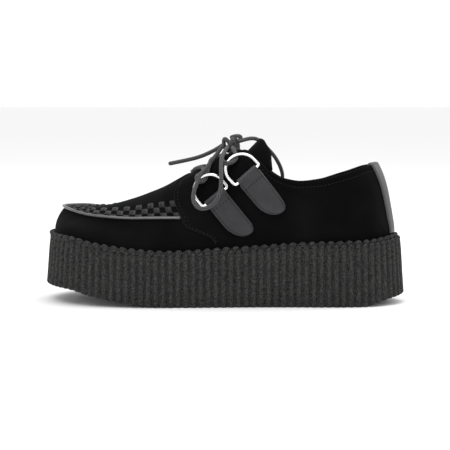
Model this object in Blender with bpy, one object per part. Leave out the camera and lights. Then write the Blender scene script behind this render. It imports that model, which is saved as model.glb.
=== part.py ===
"""A left creeper shoe: suede upper on a ribbed platform sole, laced through four D-rings.

The toe points to -X, the heel to +X, and the outer (little toe) side to -Y. Units are metres and the
platform stands on z = 0. Run with blender --background --python part.py, or from the text editor.
"""
import math

import bmesh
import bpy
import numpy as np
from mathutils import Vector
from mathutils.bvhtree import BVHTree

# Sole
SOLE_LENGTH = 0.298
BALL_WIDTH = 0.106
SIDE_DRAFT = 0.0032
RIB_PITCH = 0.0060
RIB_DEPTH = 0.0014
RIM_HEIGHT = 0.0022
RIM_WAVE = 0.0015
RIM_INSET = 0.0011
PLATFORM_HEIGHT = 0.050
# Welt
BEAD_PITCH = 0.0073
BEAD_DEPTH = 0.0012
WELT_WIDTH = 0.0043
WELT_HEIGHT = 0.0030
# Upper
UPPER_HEIGHT = 0.080
TOE_LEDGE = 0.0073
HEEL_LEDGE = 0.0100
WALL = 0.0018
QUARTER_STEP = 0.0012
QUARTER_REST = 0.0005
WEAVE_CELL = 0.0056
WEAVE_ROWS = 3
WEAVE_RISE = 0.0008
WEAVE_DIP = 0.0003
PIPING_RADIUS = 0.0012
STRAP_WIDTH = 0.025
STRAP_THICKNESS = 0.0014
# Inside
INSOLE_THICKNESS = 0.0040
TONGUE_THICKNESS = 0.0026
TONGUE_RISE = 0.0150
TONGUE_LEAN = 46.0
TONGUE_SINK = 0.35
TONGUE_WIDTH = 0.056
TONGUE_NECK = 0.017
TONGUE_CROWN = 0.08
# Lace fittings
TAB_WIDTH = 0.0192
TAB_LENGTH = 0.0430
TAB_LEATHER = 0.0012
TAB_REST = 0.00090
RING_WIRE = 0.00125
RING_INNER_WIDTH = 0.0232
RING_DEPTH = 0.0190
LACE = 0.0033
GAP = 0.0003

OUTER = -1.0
INNER = 1.0

# Outline of the sole at the floor, from the toe round the outer side to the heel and back along the inner
# side: share of the length from the toe, share of the ball width towards the inner side.
OUTLINE_COLUMNS = ("along", "across")
SOLE_OUTLINE = (
    (0.000, 0.030),
    (0.010, -0.150),
    (0.038, -0.300),
    (0.080, -0.405),
    (0.155, -0.482),
    (0.285, -0.510),
    (0.430, -0.470),
    (0.570, -0.425),
    (0.700, -0.394),
    (0.820, -0.374),
    (0.910, -0.325),
    (0.967, -0.220),
    (0.993, -0.105),
    (1.000, 0.000),
    (0.993, 0.105),
    (0.967, 0.212),
    (0.910, 0.305),
    (0.820, 0.348),
    (0.700, 0.356),
    (0.570, 0.378),
    (0.430, 0.436),
    (0.285, 0.488),
    (0.165, 0.486),
    (0.085, 0.428),
    (0.040, 0.335),
    (0.010, 0.200),
)

# Side view of the platform: share of the length, height of its underside and of its top as shares of the
# platform's height at the heel seat.
PROFILE_COLUMNS = ("along", "under", "top")
SOLE_PROFILE = (
    (0.000, 0.295, 1.100),
    (0.085, 0.262, 1.073),
    (0.150, 0.170, 0.992),
    (0.220, 0.096, 0.926),
    (0.285, 0.042, 0.882),
    (0.350, 0.012, 0.858),
    (0.410, 0.000, 0.866),
    (0.500, 0.000, 0.905),
    (0.620, 0.014, 0.950),
    (0.720, 0.000, 0.990),
    (0.870, 0.000, 1.014),
    (0.910, 0.034, 1.030),
    (0.945, 0.095, 1.062),
    (1.000, 0.155, 1.105),
)

# Sections of the vamp, from the toe to the quarters' front edge. at: share of the shoulder line, which is
# the line of the apron piping and runs on round the heel. foot: share of the foot line. along: share of the
# sole's length. out, in: share of the ball width from the middle. rise: share of the upper's height above
# the platform. wall, cap, end: slope in degrees below the shoulder, above it and at the top edge. bow: how
# far the section bows to the toe, share of the length.
SECTION_COLUMNS = (
    "at", "foot", "along", "out", "in", "rise_out", "rise_in",
    "top_along", "top_across", "top_out", "top_in", "wall", "cap", "end", "bow",
)
VAMP_SECTIONS = (
    (0.000, 0.000, 0.050, 0.000, 0.000, 0.279, 0.279, 0.140, 0.000, 0.336, 0.336, 50, 14, 0, 0.000),
    (0.056, 0.078, 0.079, 0.125, 0.110, 0.256, 0.284, 0.140, 0.000, 0.336, 0.336, 50, 17, 0, 0.000),
    (0.086, 0.125, 0.103, 0.175, 0.165, 0.246, 0.292, 0.140, 0.000, 0.336, 0.336, 52, 20, 0, 0.000),
    (0.110, 0.155, 0.124, 0.212, 0.205, 0.251, 0.300, 0.140, 0.000, 0.336, 0.336, 53, 22, 0, 0.000),
    (0.159, 0.208, 0.168, 0.264, 0.257, 0.271, 0.313, 0.178, 0.000, 0.383, 0.383, 56, 25, 0, 0.000),
    (0.241, 0.312, 0.248, 0.310, 0.300, 0.304, 0.340, 0.247, 0.000, 0.490, 0.490, 62, 33, 0, 0.002),
    (0.298, 0.384, 0.305, 0.338, 0.322, 0.334, 0.367, 0.308, 0.000, 0.594, 0.594, 70, 43, 0, 0.010),
    (0.341, 0.447, 0.349, 0.354, 0.337, 0.350, 0.378, 0.358, 0.000, 0.680, 0.680, 77, 52, 0, 0.024),
    (0.390, 0.512, 0.396, 0.362, 0.348, 0.353, 0.378, 0.412, 0.000, 0.785, 0.785, 83, 66, 8, 0.042),
)
QUARTER_SECTIONS = (
    (0.390, 0.512, 0.396, 0.362, 0.348, 0.353, 0.378, 0.416, 0.080, 0.766, 0.766, 83, 66, 22, 0.042),
    (0.443, 0.547, 0.450, 0.346, 0.336, 0.354, 0.373, 0.466, 0.104, 0.866, 0.860, 85, 74, 25, 0.026),
    (0.503, 0.594, 0.510, 0.327, 0.320, 0.358, 0.369, 0.510, 0.123, 0.937, 0.929, 86, 79, 28, 0.010),
    (0.543, 0.634, 0.550, 0.317, 0.311, 0.362, 0.367, 0.542, 0.138, 0.984, 0.974, 87, 81, 31, 0.000),
    (0.577, 0.666, 0.584, 0.311, 0.304, 0.362, 0.365, 0.564, 0.156, 0.971, 0.959, 88, 83, 38, 0.000),
    (0.607, 0.691, 0.614, 0.308, 0.301, 0.359, 0.360, 0.594, 0.196, 0.886, 0.866, 89, 85, 50, 0.000),
    (0.640, 0.716, 0.648, 0.306, 0.299, 0.351, 0.351, 0.634, 0.232, 0.737, 0.709, 90, 87, 64, 0.000),
    (0.681, 0.747, 0.688, 0.307, 0.299, 0.339, 0.339, 0.670, 0.258, 0.664, 0.626, 91, 89, 76, 0.000),
    (0.727, 0.781, 0.735, 0.309, 0.301, 0.332, 0.332, 0.715, 0.276, 0.630, 0.590, 92, 90, 81, 0.000),
    (0.778, 0.819, 0.785, 0.306, 0.298, 0.327, 0.327, 0.763, 0.274, 0.638, 0.606, 93, 92, 83, 0.000),
    (0.828, 0.862, 0.836, 0.290, 0.284, 0.319, 0.319, 0.811, 0.256, 0.674, 0.656, 92, 92, 83, 0.000),
    (0.870, 0.903, 0.876, 0.262, 0.257, 0.308, 0.308, 0.846, 0.222, 0.706, 0.696, 88, 87, 80, 0.000),
    (0.928, 0.947, 0.926, 0.172, 0.170, 0.284, 0.284, 0.888, 0.152, 0.752, 0.748, 84, 81, 69, 0.000),
    (1.000, 1.000, 0.959, 0.000, 0.000, 0.258, 0.258, 0.921, 0.000, 0.766, 0.766, 82, 79, 62, 0.000),
)
QUARTER_AT = 0.390
FACING_TOP_AT = 0.577
PIPING_END_AT = 0.384
TONGUE_START_AT = 0.372
INNER_COLUMNS = 12

# Middle of each tab's folded end, seen from the side: share of the sole's length, height above the platform
# as a share of the upper's, and the tab's turn from straight down towards the heel, in degrees.
TAB_COLUMNS = ("name", "along", "height", "turn")
TABS = (
    ("lower", 0.480, 0.563, 39.5),
    ("upper", 0.564, 0.751, 41.0),
)
TAB_TIP_FRONT = (0.0143, 0.0180)
TAB_TIP_BACK = (0.0049, 0.0080)
ROLL_RADIUS = 0.0028
RING_LEG = 0.0070
RING_LIFT = 0.8

# Lace between the rings: where each strand leaves a ring's arc, as degrees from the arc's middle towards
# the upper, back end of its bar, and its points between.
BAR_LEAVES = -16.0
CROSS_LEAVES = 24.0
CROSS_ENTERS = -30.0
RISE_LEAVES = 22.0
BAR_ALONG = (0.452, 0.424, 0.414)
BAR_ACROSS = (0.22, 0.11, 0.0)

# Lines of the bow from the knot outwards: share of the sole's length from the toe, share of the ball width
# towards the inner side, height above the platform as a share of the upper's height.
BOW_COLUMNS = ("along", "across", "height")
KNOT_CENTRE = (0.519, 0.0, 1.042)
KNOT_SIZE = (0.0105, 0.0110, 0.0085)
LOOP_NEAR = (
    (0.497, -0.060, 1.033),
    (0.480, -0.132, 0.945),
    (0.458, -0.255, 0.832),
    (0.437, -0.363, 0.700),
    (0.429, -0.429, 0.594),
    (0.433, -0.472, 0.494),
    (0.453, -0.491, 0.443),
    (0.477, -0.486, 0.463),
    (0.495, -0.476, 0.527),
    (0.503, -0.453, 0.628),
    (0.504, -0.440, 0.724),
    (0.502, -0.385, 0.820),
    (0.502, -0.285, 0.938),
    (0.512, -0.090, 1.025),
)
LOOP_FAR = (
    (0.540, 0.030, 1.072),
    (0.554, 0.066, 1.082),
    (0.573, 0.113, 1.094),
    (0.593, 0.170, 1.074),
    (0.613, 0.236, 0.990),
    (0.634, 0.302, 0.896),
    (0.651, 0.363, 0.778),
    (0.660, 0.410, 0.650),
    (0.649, 0.448, 0.561),
    (0.624, 0.472, 0.558),
    (0.597, 0.462, 0.644),
    (0.570, 0.406, 0.774),
    (0.547, 0.302, 0.902),
    (0.527, 0.179, 1.034),
    (0.524, 0.090, 1.057),
)
END_OUTER = (
    (0.4980, -0.010, 1.048),
    (0.477, -0.038, 1.003),
    (0.436, -0.066, 0.946),
    (0.395, -0.085, 0.915),
    (0.354, -0.094, 0.887),
)
END_INNER = (
    (0.521, 0.030, 1.120),
    (0.532, 0.047, 1.132),
    (0.542, 0.085, 1.124),
    (0.545, 0.142, 1.104),
    (0.528, 0.226, 1.030),
    (0.506, 0.311, 0.915),
    (0.480, 0.396, 0.772),
)


def clear_scene():
    """Remove every object of the open scene."""
    for thing in list(bpy.data.objects):
        bpy.data.objects.remove(thing, do_unlink=True)


def material(name, colour, roughness, metallic=0.0):
    """A plain Principled material."""
    made = bpy.data.materials.new(name)
    made.use_nodes = True
    shader = made.node_tree.nodes["Principled BSDF"]
    shader.inputs["Base Color"].default_value = (*colour, 1.0)
    shader.inputs["Roughness"].default_value = roughness
    shader.inputs["Metallic"].default_value = metallic
    return made


def finish_mesh(name, bm, finish, smooth_angle=35.0):
    """Close, turn outwards and place a bmesh in the scene as one object."""
    bmesh.ops.remove_doubles(bm, verts=bm.verts, dist=2e-5)
    bmesh.ops.dissolve_degenerate(bm, edges=bm.edges, dist=1e-6)
    bmesh.ops.recalc_face_normals(bm, faces=bm.faces)
    if bm.calc_volume(signed=True) < 0:
        bmesh.ops.reverse_faces(bm, faces=bm.faces)
    mesh = bpy.data.meshes.new(name)
    bm.to_mesh(mesh)
    bm.free()
    mesh.shade_smooth()
    mesh.set_sharp_from_angle(angle=math.radians(smooth_angle))
    thing = bpy.data.objects.new(name, mesh)
    bpy.context.collection.objects.link(thing)
    mesh.materials.append(finish)
    return thing


def monotone_slopes(xs, ys):
    """Slopes of a cubic through the points that never overshoots them."""
    step = np.diff(xs)[:, None]
    secant = np.diff(ys, axis=0) / step
    slopes = np.zeros_like(ys)
    slopes[0] = secant[0]
    slopes[-1] = secant[-1]
    before = secant[:-1]
    after = secant[1:]
    same = before * after > 0
    weight = step[1:] + 2 * step[:-1]
    other = 2 * step[1:] + step[:-1]
    safe_before = np.where(same, before, 1.0)
    safe_after = np.where(same, after, 1.0)
    slopes[1:-1] = np.where(same, (weight + other) / (weight / safe_before + other / safe_after), 0.0)
    return slopes


class Table:
    """A table of rows with named columns, read between its rows along a smooth curve.

    With mirror 0 or -1 the curve is smooth across the shoe's middle at that end of the table.
    """

    def __init__(self, columns, rows, mirror=None):
        data = np.array(rows, float)
        self.names = columns[1:]
        self.at = data[:, 0]
        self.values = data[:, 1:]
        self.slopes = monotone_slopes(self.at, self.values)
        if mirror is None:
            return
        inside = 1 if mirror == 0 else -2
        secant = (self.values[inside] - self.values[mirror]) / (self.at[inside] - self.at[mirror])
        for k, name in enumerate(self.names):
            if name in ("out", "in", "top_across"):
                self.slopes[mirror, k] = 1.5 * secant[k] - 0.5 * self.slopes[inside, k]
            elif name != "foot":
                self.slopes[mirror, k] = 0.0

    def row(self, at):
        """The values at one place, by column name."""
        at = min(max(at, self.at[0]), self.at[-1])
        i = min(int(np.searchsorted(self.at, at, side="right")) - 1, len(self.at) - 2)
        i = max(i, 0)
        width = self.at[i + 1] - self.at[i]
        t = (at - self.at[i]) / width
        low = (1 + 2 * t) * (1 - t) ** 2
        high = t * t * (3 - 2 * t)
        values = low * self.values[i] + high * self.values[i + 1]
        values = values + width * t * (1 - t) * ((1 - t) * self.slopes[i] - t * self.slopes[i + 1])
        return dict(zip(self.names, values))


def closed_curve(points, steps):
    """A smooth closed curve through the points, with the given number of steps between two of them."""
    made = []
    count = len(points)
    for i in range(count):
        a, b, c, d = (points[(i + k - 1) % count] for k in range(4))
        knot = [0.0]
        for p, q in ((a, b), (b, c), (c, d)):
            knot.append(knot[-1] + max(np.linalg.norm(q - p), 1e-9) ** 0.5)
        for k in range(steps):
            t = knot[1] + (knot[2] - knot[1]) * k / steps
            a1 = (knot[1] - t) / (knot[1] - knot[0]) * a + (t - knot[0]) / (knot[1] - knot[0]) * b
            a2 = (knot[2] - t) / (knot[2] - knot[1]) * b + (t - knot[1]) / (knot[2] - knot[1]) * c
            a3 = (knot[3] - t) / (knot[3] - knot[2]) * c + (t - knot[2]) / (knot[3] - knot[2]) * d
            b1 = (knot[2] - t) / (knot[2] - knot[0]) * a1 + (t - knot[0]) / (knot[2] - knot[0]) * a2
            b2 = (knot[3] - t) / (knot[3] - knot[1]) * a2 + (t - knot[1]) / (knot[3] - knot[1]) * a3
            made.append((knot[2] - t) / (knot[2] - knot[1]) * b1 + (t - knot[1]) / (knot[2] - knot[1]) * b2)
    return np.array(made)


class Plan:
    """The outline of the sole at the floor, from above, and lines set in from it."""

    STEPS = 24

    def __init__(self):
        rows = np.array(SOLE_OUTLINE)
        heel = int(np.argmax(rows[:, 0]))
        points = np.column_stack(((rows[:, 0] - 0.5) * SOLE_LENGTH, rows[:, 1] * BALL_WIDTH))
        curve = closed_curve(points, self.STEPS)
        curve -= (curve.min(axis=0) + curve.max(axis=0)) / 2
        turn = np.roll(curve, -1, axis=0) - np.roll(curve, 1, axis=0)
        turn /= np.linalg.norm(turn, axis=1)[:, None]
        inward = np.column_stack((-turn[:, 1], turn[:, 0]))
        middle = curve.mean(axis=0)
        if np.sum(inward * (middle - curve)) < 0:
            inward = -inward
        split = heel * self.STEPS
        self.points = curve
        self.inward = inward
        self.sides = {
            OUTER: np.arange(0, split + 1),
            INNER: np.arange(len(curve), split - 1, -1) % len(curve),
        }

    def line(self, side, inset):
        """One side from toe to heel, set in; inset is a size or a function of the share of the length."""
        index = self.sides[side]
        base = self.points[index]
        share = base[:, 0] / SOLE_LENGTH + 0.5
        depth = np.array([inset(s) for s in share]) if callable(inset) else np.full(len(base), inset)
        return base + self.inward[index] * depth[:, None], self.inward[index]

    def half_ring(self, side, inset, shares):
        """Points of one side at shares of its length round the edge."""
        line, inward = self.line(side, inset)
        run = np.concatenate(((0.0,), np.cumsum(np.linalg.norm(np.diff(line, axis=0), axis=1))))
        at = np.asarray(shares) * run[-1]
        xy = np.column_stack([np.interp(at, run, line[:, k]) for k in range(2)])
        way = np.column_stack([np.interp(at, run, inward[:, k]) for k in range(2)])
        return xy, way / np.linalg.norm(way, axis=1)[:, None]

    def girth(self, inset):
        """Length once round."""
        total = 0.0
        for side in (OUTER, INNER):
            line, _ = self.line(side, inset)
            total += float(np.sum(np.linalg.norm(np.diff(line, axis=0), axis=1)))
        return total

    def ring(self, insets, shares):
        """A closed ring: toe, outer side, heel, inner side. One inset for each share of the way round."""
        shares = np.asarray(shares)
        insets = np.broadcast_to(insets, shares.shape)
        outer = shares <= 0.5
        made = np.zeros((len(shares), 2))
        for side, mask, local in ((OUTER, outer, shares * 2), (INNER, ~outer, 2 - shares * 2)):
            if not mask.any():
                continue
            xy, way = self.half_ring(side, 0.0, local[mask])
            made[mask] = xy + way * insets[mask][:, None]
        return made


PLAN = Plan()
PROFILE = Table(PROFILE_COLUMNS, SOLE_PROFILE)


def along_share(x):
    """Share of the sole's length at an x."""
    return x / SOLE_LENGTH + 0.5


def sole_top(x):
    """Height of the platform's top."""
    return PROFILE.row(along_share(x))["top"] * PLATFORM_HEIGHT


def sole_under(x):
    """Height of the platform's underside."""
    return PROFILE.row(along_share(x))["under"] * PLATFORM_HEIGHT


def ledge(share):
    """How far the upper's foot line lies in from the outline at the floor."""
    return TOE_LEDGE + (HEEL_LEDGE - TOE_LEDGE) * share


def add_ring(bm, points):
    """Vertices of a ring."""
    return [bm.verts.new(p) for p in points]


def join_rings(bm, a, b):
    """Faces between two closed rings of the same count."""
    count = len(a)
    for i in range(count):
        k = (i + 1) % count
        bm.faces.new((a[i], a[k], b[k], b[i]))


def zip_lines(bm, a, b, at_a, at_b):
    """Triangles between two lines of vertices, each with its rising places."""
    i = 0
    k = 0
    while i < len(a) - 1 or k < len(b) - 1:
        step_a = at_a[i + 1] if i < len(a) - 1 else math.inf
        step_b = at_b[k + 1] if k < len(b) - 1 else math.inf
        if step_a <= step_b:
            corners = (a[i], a[i + 1], b[k])
            i += 1
        else:
            corners = (a[i], b[k + 1], b[k])
            k += 1
        if len(set(corners)) == 3:
            bm.faces.new(corners)


def zip_rings(bm, a, b, at_a, at_b):
    """Triangles between two closed rings that start at the same place."""
    zip_lines(bm, a + a[:1], b + b[:1], list(at_a) + [1.0 + at_a[0]], list(at_b) + [1.0 + at_b[0]])


def cap_across(bm, ring):
    """Close a ring whose first vertex is the toe and whose vertices are paired across the shoe."""
    count = len(ring)
    for i in range(count // 2):
        a = ring[i]
        b = ring[(i + 1) % count]
        c = ring[(count - i - 1) % count]
        d = ring[(count - i) % count]
        corners = []
        for v in (a, b, c, d):
            if v not in corners:
                corners.append(v)
        if len(corners) > 2:
            bm.faces.new(corners)


def raise_ring(xy, height, lift=0.0):
    """A flat ring lifted to a height that is a function of x."""
    lift = np.broadcast_to(lift, (len(xy),))
    return [(p[0], p[1], height(p[0]) + float(z)) for p, z in zip(xy, lift)]


def build_outsole(finish):
    """The platform: ribbed side with a scalloped rim, sprung toe and lifted heel."""
    ribs = 2 * round(PLAN.girth(0.0) / RIB_PITCH / 2)
    shares = np.array([(i + part) / ribs for i in range(ribs) for part in (0.0, 0.2, 0.8)])
    valley = np.tile((1.0, 0.0, 0.0), ribs)
    bm = bmesh.new()
    foot = PLAN.ring(valley * RIB_DEPTH, shares)
    rim = PLAN.ring(SIDE_DRAFT + valley * RIB_DEPTH, shares)
    edge = PLAN.ring(SIDE_DRAFT + RIM_INSET + valley * RIB_DEPTH * 0.5, shares)
    coarse = np.arange(ribs) / ribs
    seat = PLAN.ring(SIDE_DRAFT + RIM_INSET + RIB_DEPTH + GAP, coarse)
    low = add_ring(bm, raise_ring(foot, sole_under))
    high = add_ring(bm, raise_ring(rim, sole_top, -RIM_HEIGHT))
    crest = add_ring(bm, raise_ring(edge, sole_top, -valley * RIM_WAVE))
    top = add_ring(bm, raise_ring(seat, sole_top))
    join_rings(bm, low, high)
    join_rings(bm, high, crest)
    zip_rings(bm, crest, top, shares, coarse)
    cap_across(bm, top)
    order = [low[0]] + low[1:]
    cap_fan(bm, order)
    return finish_mesh("outsole", bm, finish)


def cap_fan(bm, ring):
    """Close the underside: a ring paired across the shoe, whose counts on the two sides are equal."""
    count = len(ring)
    half = count // 2
    left = ring[:half + 1]
    right = [ring[0]] + ring[:half - 1:-1]
    places_left = [v.co.x for v in left]
    places_right = [v.co.x for v in right]
    rising_left = list(np.maximum.accumulate(places_left))
    rising_right = list(np.maximum.accumulate(places_right))
    zip_lines(bm, left, right, rising_left, rising_right)


def build_welt(finish):
    """The beaded strip round the upper's foot."""
    beads = 2 * round(PLAN.girth(SIDE_DRAFT) / BEAD_PITCH / 2)
    shares = np.array([(i + part) / beads for i in range(beads) for part in (0.0, 0.28, 0.72)])
    coarse = np.arange(beads) / beads
    valley = np.tile((1.0, 0.0, 0.0), beads)
    inner_line = np.array([ledge(along_share(x)) for x in PLAN.ring(0.0, coarse)[:, 0]]) - 1.5 * GAP
    fine_inner = np.array([ledge(along_share(x)) for x in PLAN.ring(0.0, shares)[:, 0]]) - 1.5 * GAP
    outer_line = fine_inner - WELT_WIDTH
    bm = bmesh.new()
    levels = (
        (coarse, inner_line, GAP),
        (shares, outer_line + valley * BEAD_DEPTH, GAP),
        (shares, outer_line + 0.0012 + valley * BEAD_DEPTH * 0.6, WELT_HEIGHT - valley * BEAD_DEPTH),
        (coarse, inner_line, WELT_HEIGHT),
    )
    rings = []
    for places, inset, lift in levels:
        rings.append(add_ring(bm, raise_ring(PLAN.ring(inset, places), sole_top, lift)))
    zip_rings(bm, rings[0], rings[1], coarse, shares)
    join_rings(bm, rings[1], rings[2])
    zip_rings(bm, rings[3], rings[2], coarse, shares)
    join_rings(bm, rings[3], rings[0])
    return finish_mesh("welt", bm, finish)


def build_insole(finish):
    """The insole, a plate inside the upper's foot."""
    count = 48
    coarse = np.arange(count) / count
    inset = np.array([ledge(along_share(x)) for x in PLAN.ring(0.0, coarse)[:, 0]]) + WALL + GAP * 5
    xy = PLAN.ring(inset, coarse)
    bm = bmesh.new()
    low = add_ring(bm, raise_ring(xy, sole_top, GAP))
    high = add_ring(bm, raise_ring(xy, sole_top, GAP + INSOLE_THICKNESS))
    join_rings(bm, low, high)
    cap_across(bm, low)
    cap_across(bm, high)
    return finish_mesh("insole", bm, finish)


def bezier(p0, p1, p2, p3, t):
    """A point of a cubic curve."""
    s = 1 - t
    return p0 * s ** 3 + p1 * (3 * s * s * t) + p2 * (3 * s * t * t) + p3 * t ** 3


class Last:
    """The form of the upper: foot line, shoulder line and top line, with a section curve between them."""

    FOOT_SHARE = 0.2
    PULL = 0.38

    def __init__(self):
        self.tables = {
            "vamp": Table(SECTION_COLUMNS, VAMP_SECTIONS, 0),
            "quarter": Table(SECTION_COLUMNS, QUARTER_SECTIONS, -1),
        }
        self.foot = {side: PLAN.line(side, ledge) for side in (OUTER, INNER)}
        self.run = {}
        for side, (line, _) in self.foot.items():
            steps = np.linalg.norm(np.diff(line, axis=0), axis=1)
            self.run[side] = np.concatenate(((0.0,), np.cumsum(steps)))
        self.known = {}

    def middle(self, x):
        """The shoe's curved middle line, from above."""
        sides = []
        for side in (OUTER, INNER):
            line = self.foot[side][0]
            sides.append(np.interp(x, line[:, 0], line[:, 1]))
        return float(sum(sides) / 2)

    def section(self, part, side, at):
        """Control points of the section at a place on the shoulder line."""
        key = (part, side, round(at, 7))
        if key in self.known:
            return self.known[key]
        row = self.tables[part].row(at)
        line, inward = self.foot[side]
        run = self.run[side]
        place = row["foot"] * run[-1]
        foot = np.array([np.interp(place, run, line[:, k]) for k in range(2)])
        way = np.array([np.interp(place, run, inward[:, k]) for k in range(2)])
        way = np.append(way / np.linalg.norm(way), 0.0)
        up = np.array((0.0, 0.0, 1.0))
        tail = "out" if side == OUTER else "in"
        base = np.array((foot[0], foot[1], sole_top(foot[0]) + 2 * GAP))
        ankle = base + up * WELT_HEIGHT
        x = (row["along"] - 0.5) * SOLE_LENGTH
        shoulder = np.array((
            x,
            self.middle(x) + side * row[tail] * BALL_WIDTH,
            sole_top(x) + row["rise_" + tail] * UPPER_HEIGHT,
        ))
        x = (row["top_along"] - 0.5) * SOLE_LENGTH
        top = np.array((
            x,
            self.middle(x) + side * row["top_across"] * BALL_WIDTH,
            sole_top(x) + row["top_" + tail] * UPPER_HEIGHT,
        ))
        reach = np.linalg.norm(shoulder - ankle) * self.PULL
        turn = math.radians(row["wall"])
        wall = (
            ankle,
            ankle + up * reach,
            shoulder - (way * math.cos(turn) + up * math.sin(turn)) * reach,
            shoulder,
        )
        across = np.array((top[0] - shoulder[0], top[1] - shoulder[1], 0.0))
        across = across / max(np.linalg.norm(across), 1e-9)
        blend = min(1.0, max(0.0, (at - 0.5) / 0.12)) if part == "quarter" else 0.0
        across = across * (1 - blend) + way * blend
        across = across / np.linalg.norm(across)
        reach = np.linalg.norm(top - shoulder) * self.PULL
        leave = math.radians(row["cap"])
        meet = math.radians(row["end"])
        bow = np.array((-row["bow"] * SOLE_LENGTH, 0.0, 0.0))
        cap = (
            shoulder,
            shoulder + (across * math.cos(leave) + up * math.sin(leave)) * reach + bow,
            top - (across * math.cos(meet) + up * math.sin(meet)) * reach + bow,
            top,
        )
        self.known[key] = (base, wall, cap, way)
        return self.known[key]

    def point(self, part, side, at, level):
        """A point of the smooth outer surface: level 0 at the foot, 1 on the shoulder, 2 at the top."""
        base, wall, cap, _ = self.section(part, side, at)
        if level <= self.FOOT_SHARE:
            return base + (wall[0] - base) * (level / self.FOOT_SHARE)
        if level <= 1.0:
            return bezier(*wall, (level - self.FOOT_SHARE) / (1 - self.FOOT_SHARE))
        return bezier(*cap, level - 1.0)

    def normal(self, part, side, at, level):
        """The outward direction of the surface."""
        low, high = self.tables[part].at[0], self.tables[part].at[-1]
        step = 0.002
        below = self.point(part, side, at, max(0.0, level - 0.02))
        above = self.point(part, side, at, min(2.0, level + 0.02))
        if (part == "vamp" and at <= low) or (part == "quarter" and at >= high):
            out = -self.section(part, side, at)[3]
            run = above - below
            way = out * run[2] - np.array((0.0, 0.0, np.dot(run, out)))
            return way / np.linalg.norm(way)
        before = self.point(part, side, max(low, at - step), level)
        after = self.point(part, side, min(high, at + step), level)
        way = np.cross(after - before, above - below)
        size = np.linalg.norm(way)
        if size < 1e-12:
            return np.array((0.0, 0.0, 1.0))
        way = way / size
        return way if side == OUTER else -way

    def ridge_normal(self, at):
        """The outward direction on the vamp's middle line, which lies in the side view."""
        ends = self.tables["vamp"].at
        before = self.point("vamp", OUTER, max(ends[0], at - 0.004), 2.0)
        after = self.point("vamp", OUTER, min(ends[-1], at + 0.004), 2.0)
        run = after - before
        if np.linalg.norm(run) < 1e-6:
            return np.array((0.0, 0.0, 1.0))
        return np.array((-run[2], 0.0, run[0])) / math.hypot(run[0], run[2])

    def offset(self, part, side, at, level, out):
        """A point off the surface, out along its normal."""
        on_ridge = part == "vamp" and level >= 2.0
        way = self.ridge_normal(at) if on_ridge else self.normal(part, side, at, min(level, 1.995))
        return self.point(part, side, at, level) + way * out

    def cap_level(self, part, side, at, distance):
        """The level that lies a distance above the shoulder, measured along the section."""
        cap = self.section(part, side, at)[2]
        places = np.linspace(0.0, 1.0, 17)
        points = np.array([bezier(*cap, t) for t in places])
        run = np.concatenate(((0.0,), np.cumsum(np.linalg.norm(np.diff(points, axis=0), axis=1))))
        share = min(distance, run[-1] * 0.82)
        return 1.0 + float(np.interp(share, run, places))


LAST = Last()


def quarter_lift(at):
    """How far the quarter stands out over the vamp, fading behind its front edge."""
    fade = min(1.0, (at - QUARTER_AT) / 0.10)
    fade = fade * fade * (3 - 2 * fade)
    return QUARTER_STEP + (QUARTER_REST - QUARTER_STEP) * fade


def weave_lift(side, column, row):
    """Rise of an interlaced cell's middle: over and under in turn, both ways."""
    if column % 2 == 0 or row % 2 == 0 or row > 2 * WEAVE_ROWS:
        return 0.0
    turn = column // 2 + row // 2 + (1 if side == INNER else 0)
    return WEAVE_RISE if turn % 2 == 0 else -WEAVE_DIP


def levels_at(part, side, at):
    """Levels of the outer surface's rows: foot, wall, interlaced band, top."""
    rows = [0.0, Last.FOOT_SHARE, 0.45, 0.72, 1.0]
    for k in range(1, 2 * WEAVE_ROWS + 1):
        rows.append(LAST.cap_level(part, side, at, k * WEAVE_CELL / 2))
    last = rows[-1]
    rows.append(last + (2.0 - last) * 0.5)
    rows.append(2.0)
    return rows


def shoulder_length(side, stop):
    """Length of the shoulder line from the toe to a place."""
    places = np.linspace(0.0, stop, 60)
    points = np.array([LAST.point("vamp", side, at, 1.0) for at in places])
    return places, np.concatenate(((0.0,), np.cumsum(np.linalg.norm(np.diff(points, axis=0), axis=1))))


def vamp_stations(count):
    """Places on the shoulder line, evenly spaced from the toe to the quarter, the same on both sides."""
    places, run = shoulder_length(OUTER, QUARTER_AT)
    return np.interp(np.linspace(0.0, run[-1], count + 1), run, places)


def surface_grid(bm, side, stations, rows_of, place):
    """Vertices and faces of a grid: one line of vertices for each station."""
    grid = []
    for column, (part, at) in enumerate(stations):
        line = []
        for row, level in enumerate(rows_of(part, side, at)):
            line.append(bm.verts.new(place(part, side, at, level, column, row)))
        grid.append(line)
    for a, b in zip(grid, grid[1:]):
        for row in range(len(a) - 1):
            bm.faces.new((a[row], b[row], b[row + 1], a[row + 1]))
    return grid


def outer_place(part, side, at, level, column, row):
    """A vertex of the upper's outside, with the quarter's step and the interlaced band."""
    lift = 0.0
    if part == "quarter" and row > 1:
        lift = quarter_lift(at)
    if part == "vamp" and row > 4:
        lift = weave_lift(side, column, row - 4)
    return LAST.offset(part, side, at, level, lift) if lift else LAST.point(part, side, at, level)


def inner_place(part, side, at, level, column, row):
    """A vertex of the upper's inside."""
    return LAST.offset(part, side, at, level, -WALL)


def line_places(line):
    """Shares of the way along a line of vertices."""
    run = [0.0]
    for a, b in zip(line, line[1:]):
        run.append(run[-1] + (b.co - a.co).length)
    return [r / run[-1] for r in run]


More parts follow.
